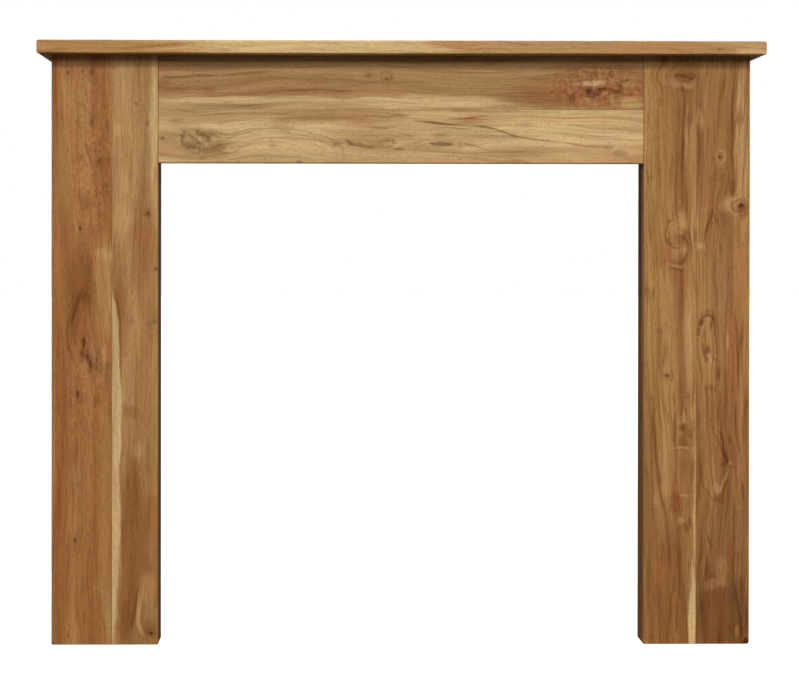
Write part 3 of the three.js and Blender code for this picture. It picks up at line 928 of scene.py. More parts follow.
def saw_board(board):
    """Sweeps a board's section along its length and returns it as a mesh object."""
    low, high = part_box(board.node)
    along_axis, across_axis = (2, 0) if board.upright else (0, 2)
    start, end = low[along_axis], high[along_axis]
    glue = {side: 0.0 if side in board.open_sides else GLUE_LINE for side in SIDES}
    section_low = (low[across_axis] + glue["low"], low[1] + glue["front"])
    section_high = (high[across_axis] - glue["high"], high[1] - glue["back"])
    end_glue = [GLUE_LINE if ease in (JOINT_EASE, END_EASE) else 0.0 for ease in board.end_eases]
    rows = length_rows(start + end_glue[0], end - end_glue[1], board.end_eases)
    width = section_high[0] - section_low[0]
    depth = section_high[1] - section_low[1]
    shares = [face_shares(width), face_shares(depth), face_shares(width), face_shares(depth)]
    timber = TIMBERS[board.slot]
    wave = planed_wave(timber.seed)
    open_low = "low" in board.open_sides
    open_high = "high" in board.open_sides

    grain = []
    arris = []
    solid = []
    for along, drawn in rows:
        slow = math.sin(SLOW_WANDER * along + timber.seed)
        wander = 1 + ARRIS_WANDER * slow * math.sin(QUICK_WANDER * along)
        arrises = [(radius * wander, arris_steps(radius)) for radius in board.arrises]
        a_low = (section_low[0] + drawn * open_low, section_low[1] + drawn)
        a_high = (section_high[0] - drawn * open_high, section_high[1])
        for across, deep, worn in section_outline(a_low, a_high, arrises, shares):
            face = max(0.0, 1 - (deep - section_low[1]) / SHOW_FACE_DEPTH)
            planed = PLANED_HOLLOW * wave(along, across)
            sunk = planed + KNOT_SINK * knot_hollow(timber.knots, along, across)
            grain.append((along, across, deep))
            arris.append(worn)
            solid.append((along, across, deep + face * sunk))
    if board.chipped:
        solid = crush_corner(solid, (start, section_high[0], section_low[1]))
    return skin_board(board, rows, grain, arris, solid, shares)


def outline_spans(board, shares):
    """Which points of the outline make up the front, the high side, the back and the low side."""
    counts = [arris_steps(radius) + 1 for radius in board.arrises]
    starts = []
    total = 0
    for count, share in zip(counts, shares):
        starts.append(total)
        total += count + len(share)
    front = list(range(starts[0] + counts[0] - 1, starts[1] + 1))
    high_side = list(range(starts[1], starts[2] + counts[2]))
    back = list(range(starts[2] + counts[2] - 1, starts[3] + 1))
    low_side = list(range(starts[3], total)) + list(range(counts[0]))
    return front, high_side, back[::-1], low_side, total


def skin_board(board, rows, grain, arris, solid, shares):
    """The faces of a swept board: a skin round its length and a cap on each end, with its bake map."""
    front, high_side, back, low_side, total = outline_spans(board, shares)
    faces = []
    places = []
    girth = [0.0]
    for j in range(total):
        here = grain[j]
        after = grain[(j + 1) % total]
        girth.append(girth[-1] + math.dist(here[1:], after[1:]))
    around = [g / girth[-1] for g in girth]
    length = rows[-1][0] - rows[0][0]
    up = [CAP_BAND + (1 - CAP_BAND) * (along - rows[0][0]) / length for along, _ in rows]
    for i in range(len(rows) - 1):
        below = i * total
        above = below + total
        for j in range(total):
            after = (j + 1) % total
            faces.append((below + j, below + after, above + after, above + j))
            corners = ((j, i), (j + 1, i), (j + 1, i + 1), (j, i + 1))
            places.append([(around[a], up[b]) for a, b in corners])
    wall_count = len(faces)
    lowest = min(point[1] for point in grain)
    widest = max(point[1] for point in grain) - lowest
    foremost = min(point[2] for point in grain)
    deepest = max(point[2] for point in grain) - foremost
    caps = [[front[k], back[k], back[k + 1], front[k + 1]] for k in range(len(front) - 1)]
    caps += [high_side[::-1], low_side[::-1]]
    ends = ((0, False), (len(rows) - 1, True))
    for (row, outward), cap_start in zip(ends, CAP_STARTS):
        for cap in caps:
            ring = cap[::-1] if outward else cap
            corners = [row * total + j for j in ring]
            faces.append(tuple(corners))
            places.append(
                [
                    (
                        cap_start + CAP_WIDTH * (grain[v][1] - lowest) / widest,
                        CAP_FILL * CAP_BAND * (grain[v][2] - foremost) / deepest,
                    )
                    for v in corners
                ]
            )
    if not board.upright:
        faces = [face[::-1] for face in faces]
        places = [place[::-1] for place in places]

    def in_frame(along, across, deep):
        return (across, deep, along) if board.upright else (along, deep, across)

    mesh = bpy.data.meshes.new(board.node + "_wood")
    mesh.from_pydata([in_frame(*point) for point in solid], [], faces)
    mesh.attributes.new("grain", "FLOAT_VECTOR", "POINT").data.foreach_set(
        "vector", [value for point in grain for value in point]
    )
    mesh.attributes.new("arris", "FLOAT", "POINT").data.foreach_set("value", arris)
    bake_map = mesh.uv_layers.new(name="OFBake")
    bake_map.data.foreach_set("uv", [value for place in places for corner in place for value in corner])
    mesh.polygons.foreach_set("use_smooth", [k < wall_count for k in range(len(faces))])
    mesh.update()
    piece = bpy.data.objects.new(board.node + "_wood", mesh)
    bpy.context.scene.collection.objects.link(piece)
    return piece


# Directions of a grain position
ALONG = (1.0, 0.0, 0.0)
ACROSS = (0.0, 1.0, 0.0)

# Kinds of node socket, and where a mix of colours keeps its own
FLOAT = "NodeSocketFloat"
VECTOR = "NodeSocketVector"
COLOUR = "NodeSocketColor"
MIX_FIRST = 6
MIX_SECOND = 7
MIX_RESULT = 2

# The stretch of a noise's values that is spread over 0 to 1
NOISE_SPREAD = (0.28, 0.72)


class Bench:
    """A node tree being wired: each call lays down one node and hands back its result."""

    def __init__(self, tree):
        self.tree = tree

    def node(self, kind, **settings):
        node = self.tree.nodes.new(kind)
        for name, value in settings.items():
            setattr(node, name, value)
        return node

    def feed(self, socket, value):
        if isinstance(value, bpy.types.NodeSocket):
            self.tree.links.new(value, socket)
        else:
            socket.default_value = value

    def math(self, operation, *values):
        node = self.node("ShaderNodeMath", operation=operation)
        for socket, value in zip(node.inputs, values):
            self.feed(socket, value)
        return node.outputs[0]

    def vector(self, operation, *values):
        node = self.node("ShaderNodeVectorMath", operation=operation)
        for socket, value in zip(node.inputs, values):
            self.feed(socket, value)
        return node.outputs["Value" if operation in ("LENGTH", "DOT_PRODUCT") else "Vector"]

    def scale(self, vector, factor):
        node = self.node("ShaderNodeVectorMath", operation="SCALE")
        self.feed(node.inputs[0], vector)
        self.feed(node.inputs["Scale"], factor)
        return node.outputs["Vector"]

    def split(self, vector):
        node = self.node("ShaderNodeSeparateXYZ")
        self.feed(node.inputs[0], vector)
        return node.outputs[0], node.outputs[1], node.outputs[2]

    def join(self, *parts):
        node = self.node("ShaderNodeCombineXYZ")
        for socket, part in zip(node.inputs, parts):
            self.feed(socket, part)
        return node.outputs[0]

    def ramp(self, value, start, end, low=0.0, high=1.0):
        """Eases from low to high as value goes from start to end, and stays there beyond them."""
        node = self.node("ShaderNodeMapRange", interpolation_type="SMOOTHSTEP")
        for socket, number in zip(node.inputs, (value, start, end, low, high)):
            self.feed(socket, number)
        return node.outputs[0]

    def mix(self, factor, first, second, kind="MIX"):
        node = self.node("ShaderNodeMix", data_type="RGBA", blend_type=kind)
        self.feed(node.inputs[0], factor)
        self.feed(node.inputs[MIX_FIRST], first)
        self.feed(node.inputs[MIX_SECOND], second)
        return node.outputs[MIX_RESULT]

    def noise(self, along, across, depth, rates, detail=2.0):
        """Noise that changes so many times a metre along, across and in depth, spread over 0 to 1."""
        place = self.vector("MULTIPLY", self.join(along, across, depth), rates)
        node = self.node("ShaderNodeTexNoise")
        self.feed(node.inputs["Vector"], place)
        self.feed(node.inputs["Scale"], 1.0)
        self.feed(node.inputs["Detail"], detail)
        spread = self.node("ShaderNodeMapRange")
        for socket, number in zip(spread.inputs, (node.outputs[0], *NOISE_SPREAD, 0.0, 1.0)):
            self.feed(socket, number)
        return spread.outputs[0]

    def place(self, group, **values):
        """Sets a group down with its values, their names with _ for a space: hands back its outputs."""
        node = self.node("ShaderNodeGroup")
        node.node_tree = group
        for name, value in values.items():
            self.feed(node.inputs[name.replace("_", " ")], value)
        return node.outputs


def start_group(name, inputs, outputs):
    """A new node group with named sockets: its bench, what it is given, and what it puts out."""
    tree = bpy.data.node_groups.new(name, "ShaderNodeTree")
    for label, kind in inputs.items():
        tree.interface.new_socket(label, in_out="INPUT", socket_type=kind)
    for label, kind in outputs.items():
        tree.interface.new_socket(label, in_out="OUTPUT", socket_type=kind)
    bench = Bench(tree)
    given = bench.node("NodeGroupInput").outputs
    out = bench.node("NodeGroupOutput").inputs
    return bench, given, out


# How often the unevenness of marks changes in a metre
FRAY_RATES = (16, 190, 60)
WARP_RATES_ALONG = (12, 24, 20)
WARP_RATES_ACROSS = (14, 24, 20)

# How far it shifts them along and across, and how far apart those two shifts are drawn
WARP_ALONG = 0.010
WARP_ACROSS = 0.005
WARPS_APART = 5.0


def ragged_edge_group():
    """Unevenness for the edges of marks: a fray along the grain, -1 to 1, and a warped position."""
    bench, given, out = start_group(
        "ragged edge", {"Position": VECTOR, "Seed": FLOAT}, {"Ragged": FLOAT, "Warped": VECTOR}
    )
    along, across, depth = bench.split(given["Position"])
    seeded = bench.math("ADD", along, given["Seed"])
    fray = bench.noise(seeded, across, depth, FRAY_RATES)
    longways = bench.noise(seeded, across, depth, WARP_RATES_ALONG, 1.0)
    elsewhere = bench.math("ADD", seeded, WARPS_APART)
    sideways = bench.noise(elsewhere, across, depth, WARP_RATES_ACROSS, 1.0)
    warp = bench.join(
        bench.math("MULTIPLY_ADD", longways, WARP_ALONG, -WARP_ALONG / 2),
        bench.math("MULTIPLY_ADD", sideways, WARP_ACROSS, -WARP_ACROSS / 2),
        0.0,
    )
    bench.feed(out["Ragged"], bench.math("MULTIPLY_ADD", fray, 2.0, -1.0))
    bench.feed(out["Warped"], bench.vector("ADD", given["Position"], warp))
    return bench.tree


# How many of a knot's reaches the grain is bent over, along, across and in depth
BEND_SPREAD = (4.0, 3.0, 1.0)


def knot_bend_group():
    """Pushes the grain aside round one knot."""
    bench, given, out = start_group(
        "grain round a knot",
        {"Position": VECTOR, "Bent Across": FLOAT, "Centre": VECTOR, "Reach": VECTOR, "Push": FLOAT},
        {"Bent Across": FLOAT},
    )
    offset = bench.vector("SUBTRACT", given["Position"], given["Centre"])
    share = bench.vector("DIVIDE", offset, bench.vector("MULTIPLY", given["Reach"], BEND_SPREAD))
    square = bench.vector("DOT_PRODUCT", share, share)
    fall = bench.math("EXPONENT", bench.math("MULTIPLY", square, -1.0))
    across = bench.vector("DOT_PRODUCT", offset, ACROSS)
    pushed = bench.math("MULTIPLY", bench.math("MULTIPLY", fall, across), given["Push"])
    bench.feed(out["Bent Across"], bench.math("SUBTRACT", given["Bent Across"], pushed))
    return bench.tree


# How often the figure changes in a metre: along the board, then across it or across its rings
DRIFT_RATES = (2.4, 5.0, 5.0)
SWAY_RATES = (8.0, 24.0, 24.0)
BAND_RATES = (1.4, 34.0, 1.0)
STREAK_RATES = (3.6, 130.0, 1.0)
FINE_STREAK_RATES = (8.0, 360.0, 1.0)
LINE_RATES = (4.5, 165.0, 1.0)
LINE_PATCH_RATES = (5.0, 40.0, 1.0)
WARMTH_RATES = (2.2, 55.0, 1.0)

# How far apart the noises over the rings are drawn, so that no two are alike
LAYERS_APART = 3.0

# The share of the quicker wave and of the finer streaks, and where bands and lines begin and end
SWAY_SHARE = 0.35
FINE_SHARE = 0.42
BAND_EDGES = (0.15, 0.85)
LINE_EDGES = (0.24, 0.0)
LINE_PATCH_EDGES = (0.3, 0.75)


def grain_figure_group():
    """Growth rings round a pith outside the board, wavering along it: bands, streaks and thin lines."""
    bench, given, out = start_group(
        "grain figure",
        {
            "Position": VECTOR,
            "Bent Across": FLOAT,
            "Pith Across": FLOAT,
            "Pith Depth": FLOAT,
            "Taper": FLOAT,
            "Waver": FLOAT,
            "Seed": FLOAT,
        },
        {"Bands": FLOAT, "Streaks": FLOAT, "Lines": FLOAT, "Warmth": FLOAT},
    )
    along, _, depth = bench.split(given["Position"])
    across = given["Bent Across"]
    seeded = bench.math("ADD", along, given["Seed"])
    drift = bench.noise(seeded, across, depth, DRIFT_RATES, 1.0)
    wave = bench.noise(seeded, across, depth, SWAY_RATES, 1.0)
    centred = bench.math("SUBTRACT", drift, (1 + SWAY_SHARE) / 2)
    sway = bench.math("MULTIPLY_ADD", wave, SWAY_SHARE, centred)
    wavering = bench.math("MULTIPLY_ADD", sway, given["Waver"], across)
    pith_depth = bench.math("MULTIPLY_ADD", given["Taper"], along, given["Pith Depth"])
    sideways = bench.math("SUBTRACT", wavering, given["Pith Across"])
    behind = bench.math("SUBTRACT", depth, pith_depth)
    ring = bench.vector("LENGTH", bench.join(sideways, behind, 0.0))

    def layer(number, rates, detail):
        return bench.noise(seeded, ring, number * LAYERS_APART, rates, detail)

    bands = layer(0, BAND_RATES, 1.0)
    broad = layer(1, STREAK_RATES, 2.0)
    fine = layer(2, FINE_STREAK_RATES, 1.0)
    streaks = bench.math("MULTIPLY_ADD", fine, FINE_SHARE, bench.math("MULTIPLY", broad, 1 - FINE_SHARE))
    thread = layer(3, LINE_RATES, 0.0)
    ridge = bench.math("ABSOLUTE", bench.math("MULTIPLY_ADD", thread, 2.0, -1.0))
    shown = bench.ramp(layer(4, LINE_PATCH_RATES, 0.0), *LINE_PATCH_EDGES)
    line = bench.math("MULTIPLY", bench.ramp(ridge, *LINE_EDGES), shown)
    bench.feed(out["Bands"], bench.ramp(bands, *BAND_EDGES))
    bench.feed(out["Streaks"], streaks)
    bench.feed(out["Lines"], line)
    bench.feed(out["Warmth"], layer(5, WARMTH_RATES, 1.0))
    return bench.tree


# How often the fine grain changes in a metre, and where pores and ripples begin and end
FIBRE_RATES = (28, 620, 620)
PORE_RATES = (95, 1150, 1150)
RIPPLE_PATCH_RATES = (9, 34, 20)
JITTER_RATES = (30, 90, 60)
PORE_EDGES = (0.72, 0.95)
RIPPLE_EDGES = (0.55, 0.95)

# The ripple's crests, in radians a metre, and how unevenly they come
RIPPLE_CRESTS = 640.0
RIPPLE_JITTER = 9.0


def fibre_group():
    """The fine grain: fibres, the dashes of open pores, and a ripple across the grain in places."""
    bench, given, out = start_group(
        "fibre pores and ripple",
        {"Position": VECTOR, "Bent Across": FLOAT, "Seed": FLOAT},
        {"Fibre": FLOAT, "Pores": FLOAT, "Ripple": FLOAT},
    )
    along, _, depth = bench.split(given["Position"])
    across = given["Bent Across"]
    seeded = bench.math("ADD", along, given["Seed"])
    fibre = bench.noise(seeded, across, depth, FIBRE_RATES, 3.0)
    pore = bench.noise(seeded, across, depth, PORE_RATES, 0.0)
    patch = bench.noise(seeded, across, depth, RIPPLE_PATCH_RATES, 1.0)
    jitter = bench.noise(seeded, across, depth, JITTER_RATES, 1.0)
    uneven = bench.math("MULTIPLY", jitter, RIPPLE_JITTER)
    crest = bench.math("SINE", bench.math("MULTIPLY_ADD", along, RIPPLE_CRESTS, uneven))
    bench.feed(out["Fibre"], fibre)
    bench.feed(out["Pores"], bench.ramp(pore, *PORE_EDGES))
    bench.feed(out["Ripple"], bench.math("MULTIPLY", crest, bench.ramp(patch, *RIPPLE_EDGES)))
    return bench.tree


# What every mark in the wood is given, and what one of a single colour is given as well
MARK_SOCKETS = {
    "Colour": COLOUR,
    "Position": VECTOR,
    "Centre": VECTOR,
    "Reach": VECTOR,
    "Strength": FLOAT,
}
TINTED_SOCKETS = {**MARK_SOCKETS, "Ragged": FLOAT, "Tint": COLOUR}


def stain_group():
    """Lays one stain over the colour of the wood."""
    bench, given, out = start_group(
        "stain in the wood",
        {**TINTED_SOCKETS, "Lean": VECTOR, "Soft": FLOAT, "Fray": FLOAT},
        {"Colour": COLOUR},
    )
    offset = bench.vector("SUBTRACT", given["Position"], given["Centre"])
    along = bench.vector("DOT_PRODUCT", offset, ALONG)
    straight = bench.vector("SUBTRACT", offset, bench.scale(given["Lean"], along))
    share = bench.vector("DIVIDE", straight, given["Reach"])
    distance = bench.math("MULTIPLY_ADD", given["Ragged"], given["Fray"], bench.vector("LENGTH", share))
    outside = bench.math("ADD", 1.0, given["Soft"])
    inside = bench.math("SUBTRACT", 1.0, given["Soft"])
    cover = bench.math("MULTIPLY", bench.ramp(distance, outside, inside), given["Strength"])
    bench.feed(out["Colour"], bench.mix(cover, given["Colour"], given["Tint"]))
    return bench.tree


# How ragged a ring is, and where one side of it fades out
ARC_FRAY = 0.04
ARC_FADE = (-0.5, 0.4)


def ring_arc_group():
    """Draws one growth ring, or one side of it, over the colour of the wood."""
    bench, given, out = start_group(
        "ring round a knot",
        {**TINTED_SOCKETS, "Width": FLOAT, "Side": VECTOR},
        {"Colour": COLOUR},
    )
    offset = bench.vector("SUBTRACT", given["Position"], given["Centre"])
    share = bench.vector("DIVIDE", offset, given["Reach"])
    distance = bench.math("MULTIPLY_ADD", given["Ragged"], ARC_FRAY, bench.vector("LENGTH", share))
    away = bench.math("ABSOLUTE", bench.math("SUBTRACT", distance, 1.0))
    line = bench.ramp(away, given["Width"], 0.0)
    whole = bench.math("SUBTRACT", 1.0, bench.vector("LENGTH", given["Side"]))
    reached = bench.math("ADD", bench.vector("DOT_PRODUCT", share, given["Side"]), whole)
    cover = bench.math("MULTIPLY", line, bench.ramp(reached, *ARC_FADE))
    strong = bench.math("MULTIPLY", cover, given["Strength"])
    bench.feed(out["Colour"], bench.mix(strong, given["Colour"], given["Tint"]))
    return bench.tree


# A knot in shares of its reach: how ragged it is, its heart, the ring round it and its halo
KNOT_FRAY = 0.30
HEART_EDGES = (1.15, 0.35)
RIM_AT = 1.6
RIM_EDGES = (0.4, 0.0)
RIM_SHARE = 0.35
HALO_EDGES = (3.0, 0.8)
HALO_SHARE = 0.25


def knot_mark_group():
    """Colours one knot: a dark heart, a thin ring round it and a faint halo."""
    bench, given, out = start_group("knot heart", TINTED_SOCKETS, {"Colour": COLOUR})
    offset = bench.vector("SUBTRACT", given["Position"], given["Centre"])
    share = bench.vector("DIVIDE", offset, given["Reach"])
    distance = bench.math("MULTIPLY_ADD", given["Ragged"], KNOT_FRAY, bench.vector("LENGTH", share))
    heart = bench.ramp(distance, *HEART_EDGES)
    rim_distance = bench.math("ABSOLUTE", bench.math("SUBTRACT", distance, RIM_AT))
    rim = bench.math("MULTIPLY", bench.ramp(rim_distance, *RIM_EDGES), RIM_SHARE)
    halo = bench.math("MULTIPLY", bench.ramp(distance, *HALO_EDGES), HALO_SHARE)
    darkest = bench.math("MAXIMUM", heart, bench.math("MAXIMUM", rim, halo))
    cover = bench.math("MULTIPLY", darkest, given["Strength"])
    bench.feed(out["Colour"], bench.mix(cover, given["Colour"], given["Tint"]))
    return bench.tree


# Curly wood: where it ends, its curls and how far they shift it, and its deep and fair cells
BURL_EDGES = (1.25, 0.5)
CURL_RATES = (45, 60, 40)
CURL_SHIFT = 0.012
CELLS_IN_DEPTH = 60
DEEP_CELLS = (0.5, 0.95)
FAIR_CELLS = (0.5, 0.05)


def burl_group():
    """Mottles one stretch of curly wood with cells of a darker and a fairer colour."""
    bench, given, out = start_group(
        "curly wood",
        {**MARK_SOCKETS, "Cells": VECTOR, "Dark": COLOUR, "Fair": COLOUR},
        {"Colour": COLOUR},
    )
    along, across, depth = bench.split(given["Position"])
    offset = bench.vector("SUBTRACT", given["Position"], given["Centre"])
    distance = bench.vector("LENGTH", bench.vector("DIVIDE", offset, given["Reach"]))
    cover = bench.math("MULTIPLY", bench.ramp(distance, *BURL_EDGES), given["Strength"])
    curl = bench.noise(along, across, depth, CURL_RATES, 1.0)
    curled = bench.math("MULTIPLY_ADD", curl, CURL_SHIFT, across)
    cells = bench.noise(along, curled, depth, given["Cells"], 2.0)
    deep = bench.math("MULTIPLY", bench.ramp(cells, *DEEP_CELLS), cover)
    fair = bench.math("MULTIPLY", bench.ramp(cells, *FAIR_CELLS), cover)
    colour = bench.mix(deep, given["Colour"], given["Dark"])
    bench.feed(out["Colour"], bench.mix(fair, colour, given["Fair"]))
    return bench.tree


# Where streaks and warmth begin and end, and how much fibre and ripple lighten the wood
DEEP_EDGES = (0.47, 0.88)
FAIR_EDGES = (0.53, 0.12)
RUDDY_EDGES = (0.5, 1.0)
TAWNY_EDGES = (0.5, 0.0)
FIBRE_DIMMEST = 0.94
FIBRE_LIGHT = 0.16
RIPPLE_LIGHT = 0.05


def figure_colour_group():
    """Lays the figure over the colour of the wood: darker streaks and lines, fibre and ripple."""
    bench, given, out = start_group(
        "figure over the colour",
        {
            "Colour": COLOUR,
            "Streaks": FLOAT,
            "Lines": FLOAT,
            "Warmth": FLOAT,
            "Fibre": FLOAT,
            "Ripple": FLOAT,
            "Streak Strength": FLOAT,
            "Line Strength": FLOAT,
        },
        {"Colour": COLOUR},
    )
    strength = given["Streak Strength"]
    deep = bench.math("MULTIPLY", bench.ramp(given["Streaks"], *DEEP_EDGES), strength)
    fair = bench.math("MULTIPLY", bench.ramp(given["Streaks"], *FAIR_EDGES), strength)
    lined = bench.math("MULTIPLY", given["Lines"], given["Line Strength"])
    colour = bench.mix(deep, given["Colour"], DEEP_STREAK, "MULTIPLY")
    colour = bench.mix(fair, colour, FAIR_STREAK, "MULTIPLY")
    colour = bench.mix(lined, colour, DARK_LINE, "MULTIPLY")
    colour = bench.mix(bench.ramp(given["Warmth"], *RUDDY_EDGES), colour, RUDDY, "MULTIPLY")
    colour = bench.mix(bench.ramp(given["Warmth"], *TAWNY_EDGES), colour, TAWNY, "MULTIPLY")
    bright = bench.math("MULTIPLY_ADD", given["Fibre"], FIBRE_LIGHT, FIBRE_DIMMEST)
    bright = bench.math("MULTIPLY_ADD", given["Ripple"], RIPPLE_LIGHT, bright)
    bench.feed(out["Colour"], bench.scale(colour, bright))
    return bench.tree


# What pores and end grain multiply the colour by, and how far each finish goes
PORE_TINT = (0.5, 0.42, 0.36, 1.0)
PORE_SHARE = 0.45
END_TINT = (0.58, 0.5, 0.44, 1.0)
END_SHARE = 0.8
RAW_SHARE = 0.35
SAWN_SHARE = 0.25
ARRIS_WEAR = 0.12

# How squarely an end or a back has to face to count as one, and the saw's marks in a metre
FACING_EDGES = (0.75, 0.95)
SAW_RATES = (420, 9, 9)

# How rough the oiled faces are, what each finish adds to that, and how the fine relief stands
OILED_ROUGHNESS = 0.56
FIBRE_ROUGHNESS = 0.08
PORE_ROUGHNESS = 0.12
END_ROUGHNESS = 0.2
RAW_ROUGHNESS = 0.25
FIBRE_HEIGHT = 0.4
SAWN_HEIGHT = 2.0
RELIEF_STRENGTH = 0.25
RELIEF_DEPTH = 0.0002
OIL_SHINE = 0.12


def oiled_face_group():
    """Finishes the faces: oiled in front, darker end grain, sawn backs left raw, and worn arrises."""
    bench, given, out = start_group(
        "oiled and raw faces",
        {
            "Colour": COLOUR,
            "Position": VECTOR,
            "Arris": FLOAT,
            "End": FLOAT,
            "Back": FLOAT,
            "Fibre": FLOAT,
            "Pores": FLOAT,
        },
        {"Colour": COLOUR, "Roughness": FLOAT, "Height": FLOAT},
    )
    along, across, depth = bench.split(given["Position"])
    saw = bench.noise(along, across, depth, SAW_RATES, 1.0)
    end = bench.ramp(given["End"], *FACING_EDGES)
    back = bench.ramp(given["Back"], *FACING_EDGES)
    pored = bench.math("MULTIPLY", given["Pores"], PORE_SHARE)
    colour = bench.mix(pored, given["Colour"], PORE_TINT, "MULTIPLY")
    colour = bench.mix(bench.math("MULTIPLY", end, END_SHARE), colour, END_TINT, "MULTIPLY")
    raw = bench.math("MULTIPLY", back, bench.math("MULTIPLY_ADD", saw, SAWN_SHARE, RAW_SHARE))
    colour = bench.mix(raw, colour, RAW_BACK)
    worn = bench.math("MULTIPLY", given["Arris"], bench.math("MULTIPLY", given["Fibre"], ARRIS_WEAR))
    colour = bench.mix(worn, colour, PALE)
    rough = bench.math("MULTIPLY_ADD", given["Fibre"], FIBRE_ROUGHNESS, OILED_ROUGHNESS)
    rough = bench.math("MULTIPLY_ADD", given["Pores"], PORE_ROUGHNESS, rough)
    rough = bench.math("MULTIPLY_ADD", end, END_ROUGHNESS, rough)
    rough = bench.math("MULTIPLY_ADD", back, RAW_ROUGHNESS, rough)
    raised = bench.math("MULTIPLY", given["Fibre"], FIBRE_HEIGHT)
    height = bench.math("MULTIPLY_ADD", given["Pores"], -1.0, raised)
    sawn = bench.math("MULTIPLY", bench.math("MULTIPLY", saw, back), SAWN_HEIGHT)
    bench.feed(out["Colour"], colour)
    bench.feed(out["Roughness"], rough)
    bench.feed(out["Height"], bench.math("ADD", height, sawn))
    return bench.tree


GROUPS = {
    "ragged": ragged_edge_group(),
    "bend": knot_bend_group(),
    "figure": grain_figure_group(),
    "fibre": fibre_group(),
    "stain": stain_group(),
    "arc": ring_arc_group(),
    "knot": knot_mark_group(),
    "burl": burl_group(),
    "overlay": figure_colour_group(),
    "faces": oiled_face_group(),
}


def acacia(name, timber, upright, front):
    """The material of one board's wood, with its marks on the face that lies at depth front."""
    material = bpy.data.materials.new(name)
    material.use_nodes = True
    bench = Bench(material.node_tree)
    shader = material.node_tree.nodes["Principled BSDF"]
    position = bench.node("ShaderNodeAttribute", attribute_name="grain").outputs["Vector"]
    arris = bench.node("ShaderNodeAttribute", attribute_name="arris").outputs["Fac"]
    facing = bench.split(bench.node("ShaderNodeNewGeometry").outputs["Normal"])
    end = bench.math("ABSOLUTE", facing[2 if upright else 0])
    back = facing[1]

    edge = bench.place(GROUPS["ragged"], Position=position, Seed=timber.seed)
    ragged = edge["Ragged"]
    warped = edge["Warped"]

    def spot(mark):
        return {"Centre": (*mark.at, front), "Reach": (*mark.reach, MARK_DEPTH)[:3]}

    def lay(kind, colour, mark, **values):
        sockets = {"Colour": colour, "Position": warped, "Strength": mark.strength, **spot(mark), **values}
        return bench.place(GROUPS[kind], **sockets)["Colour"]

    def lay_tinted(kind, colour, mark, **values):
        return lay(kind, colour, mark, Ragged=ragged, Tint=mark.tint, **values)

    def lay_stains(colour, stains):
        for stain in stains:
            lean = (0.0, stain.lean, 0.0)
            colour = lay_tinted("stain", colour, stain, Lean=lean, Soft=stain.soft, Fray=stain.fray)
        return colour

    bent = bench.split(position)[1]
    for knot in timber.knots:
        bent = bench.place(
            GROUPS["bend"], Position=position, Bent_Across=bent, Push=knot.push, **spot(knot)
        )["Bent Across"]
    figure = bench.place(
        GROUPS["figure"],
        Position=position,
        Bent_Across=bent,
        Pith_Across=timber.pith[0],
        Pith_Depth=timber.pith[1],
        Taper=timber.taper,
        Waver=timber.waver,
        Seed=timber.seed,
    )
    fibre = bench.place(GROUPS["fibre"], Position=position, Bent_Across=bent, Seed=timber.seed)
    colour = bench.mix(figure["Bands"], timber.dark, timber.light)
    colour = lay_stains(colour, timber.stains)
    colour = bench.place(
        GROUPS["overlay"],
        Colour=colour,
        Streaks=figure["Streaks"],
        Lines=figure["Lines"],
        Warmth=figure["Warmth"],
        Fibre=fibre["Fibre"],
        Ripple=fibre["Ripple"],
        Streak_Strength=timber.streaks,
        Line_Strength=timber.lines,
    )["Colour"]
    for burl in timber.burls:
        cells = (*burl.cells, CELLS_IN_DEPTH)
        colour = lay("burl", colour, burl, Cells=cells, Dark=burl.dark, Fair=burl.fair)
    colour = lay_stains(colour, timber.flecks)
    for arc in timber.arcs:
        colour = lay_tinted("arc", colour, arc, Width=arc.width, Side=(*arc.side, 0.0))
    for knot in timber.knots:
        colour = lay_tinted("knot", colour, knot)
    finish = bench.place(
        GROUPS["faces"],
        Colour=colour,
        Position=position,
        Arris=arris,
        End=end,
        Back=back,
        Fibre=fibre["Fibre"],
        Pores=fibre["Pores"],
    )
    bump = bench.node("ShaderNodeBump")
    bench.feed(bump.inputs["Strength"], RELIEF_STRENGTH)
    bench.feed(bump.inputs["Distance"], RELIEF_DEPTH)
    bench.feed(bump.inputs["Height"], finish["Height"])
    bench.feed(shader.inputs["Base Color"], finish["Colour"])
    bench.feed(shader.inputs["Roughness"], finish["Roughness"])
    bench.feed(shader.inputs["Normal"], bump.outputs["Normal"])
    shader.inputs["Specular IOR Level"].default_value = OIL_SHINE
    return material


def make_boards():
    """Every board, sawn, finished and set on its place in the frame."""
    materials = {}
    for board in BOARDS:
        piece = saw_board(board)
        if board.slot not in materials:
            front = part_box(board.node)[0][1]
            materials[board.slot] = acacia(board.slot, TIMBERS[board.slot], board.upright, front)
        piece.data.materials.append(materials[board.slot])
        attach(piece, "root")
        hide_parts(board.node)


def set_camera():
    """A camera whose shifted lens gives the photograph's framing."""
    camera = bpy.data.cameras.new("camera")
    camera.sensor_width = SENSOR_WIDTH
    camera.lens = LENS
    camera.shift_x = (PHOTO_WIDTH / 2 - AXIS_X) / PHOTO_WIDTH
    camera.shift_y = (AXIS_Y - PHOTO_HEIGHT / 2) / PHOTO_WIDTH
    holder = bpy.data.objects.new("camera", camera)
    shelf_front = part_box("shelf")[0][1]
    holder.location = (CAMERA_X, shelf_front - CAMERA_DISTANCE, CAMERA_Z)
    turns = (90 - TILTED_DOWN, -ROLLED_LEFT, -TURNED_RIGHT)
    holder.rotation_euler = [math.radians(turn) for turn in turns]
    bpy.context.scene.collection.objects.link(holder)
    bpy.context.scene.camera = holder


@dataclass
class SoftLamp:
    """A large far lamp: where it hangs, in degrees from the front and above the floor, its power, and
    how many degrees it spans."""
    name: str
    azimuth: float
    elevation: float
    power: float
    spread: float


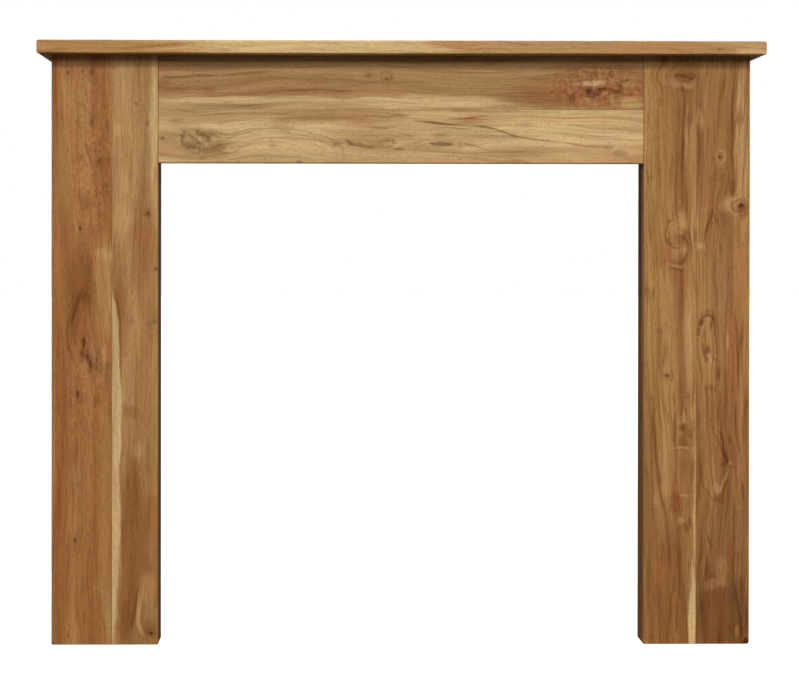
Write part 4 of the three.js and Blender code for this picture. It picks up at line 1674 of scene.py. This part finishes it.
LAMPS = [
    SoftLamp("front_low", -8, 20.5, 1.05, 13),
    SoftLamp("front_high", -8, 35.5, 2.08, 11),
    SoftLamp("left_fill", -90, 25, 0.9, 30),
    SoftLamp("right_fill", 90, 25, 0.9, 30),
    SoftLamp("wall_fill", 180, 40, 1.7, 30),
]


def hang_lamps():
    """Turns every lamp so that its light comes from where it hangs."""
    for lamp in LAMPS:
        light = bpy.data.lights.new(lamp.name, "SUN")
        light.energy = lamp.power
        light.angle = math.radians(lamp.spread)
        holder = bpy.data.objects.new(lamp.name, light)
        holder.rotation_euler = (math.radians(90 - lamp.elevation), 0, math.radians(lamp.azimuth))
        bpy.context.scene.collection.objects.link(holder)


# The white all round: its strength above and below, how it blends between, and what gloss sees of it
WHITE = (1.0, 1.0, 1.0, 1.0)
AMBIENT_ABOVE = 0.22
AMBIENT_BELOW = 0.17
HORIZON_BLEND = 0.3
REFLECTED_AMBIENT = 0.2

# The floor, a hair below the feet
FLOOR_SIZE = 40.0
FLOOR_DROP = 0.0002
FLOOR_GLOW = 1.0
FLOOR_PAINT = (0.1, 0.1, 0.1, 1.0)
FLOOR_ROUGHNESS = 0.9


def set_studio():
    """A white floor that casts nothing back on the wood, and white all round, dimmer from below."""
    half = FLOOR_SIZE / 2
    corners = [(-half, -half, 0), (half, -half, 0), (half, half, 0), (-half, half, 0)]
    mesh = bpy.data.meshes.new("floor")
    mesh.from_pydata(corners, [], [(0, 1, 2, 3)])
    floor = bpy.data.objects.new("floor", mesh)
    floor.location.z = -FLOOR_DROP
    floor.visible_diffuse = False
    floor.visible_glossy = False
    bpy.context.scene.collection.objects.link(floor)
    paint = bpy.data.materials.new("white_floor")
    paint.use_nodes = True
    shader = paint.node_tree.nodes["Principled BSDF"]
    shader.inputs["Base Color"].default_value = FLOOR_PAINT
    shader.inputs["Roughness"].default_value = FLOOR_ROUGHNESS
    shader.inputs["Emission Color"].default_value = WHITE
    shader.inputs["Emission Strength"].default_value = FLOOR_GLOW
    mesh.materials.append(paint)

    world = bpy.data.worlds.new("studio")
    world.use_nodes = True
    bench = Bench(world.node_tree)
    ray = bench.node("ShaderNodeLightPath").outputs
    height = bench.split(bench.node("ShaderNodeTexCoord").outputs["Generated"])[2]
    around = bench.ramp(height, -HORIZON_BLEND, HORIZON_BLEND, AMBIENT_BELOW, AMBIENT_ABOVE)
    dimmed = bench.math("MULTIPLY_ADD", ray["Is Glossy Ray"], REFLECTED_AMBIENT - 1.0, 1.0)
    strength = bench.math("MAXIMUM", ray["Is Camera Ray"], bench.math("MULTIPLY", around, dimmed))
    background = world.node_tree.nodes["Background"]
    background.inputs["Color"].default_value = WHITE
    bench.feed(background.inputs["Strength"], strength)
    bpy.context.scene.world = world
    bpy.context.scene.view_settings.view_transform = "Standard"


set_camera()
make_boards()
hang_lamps()
set_studio()
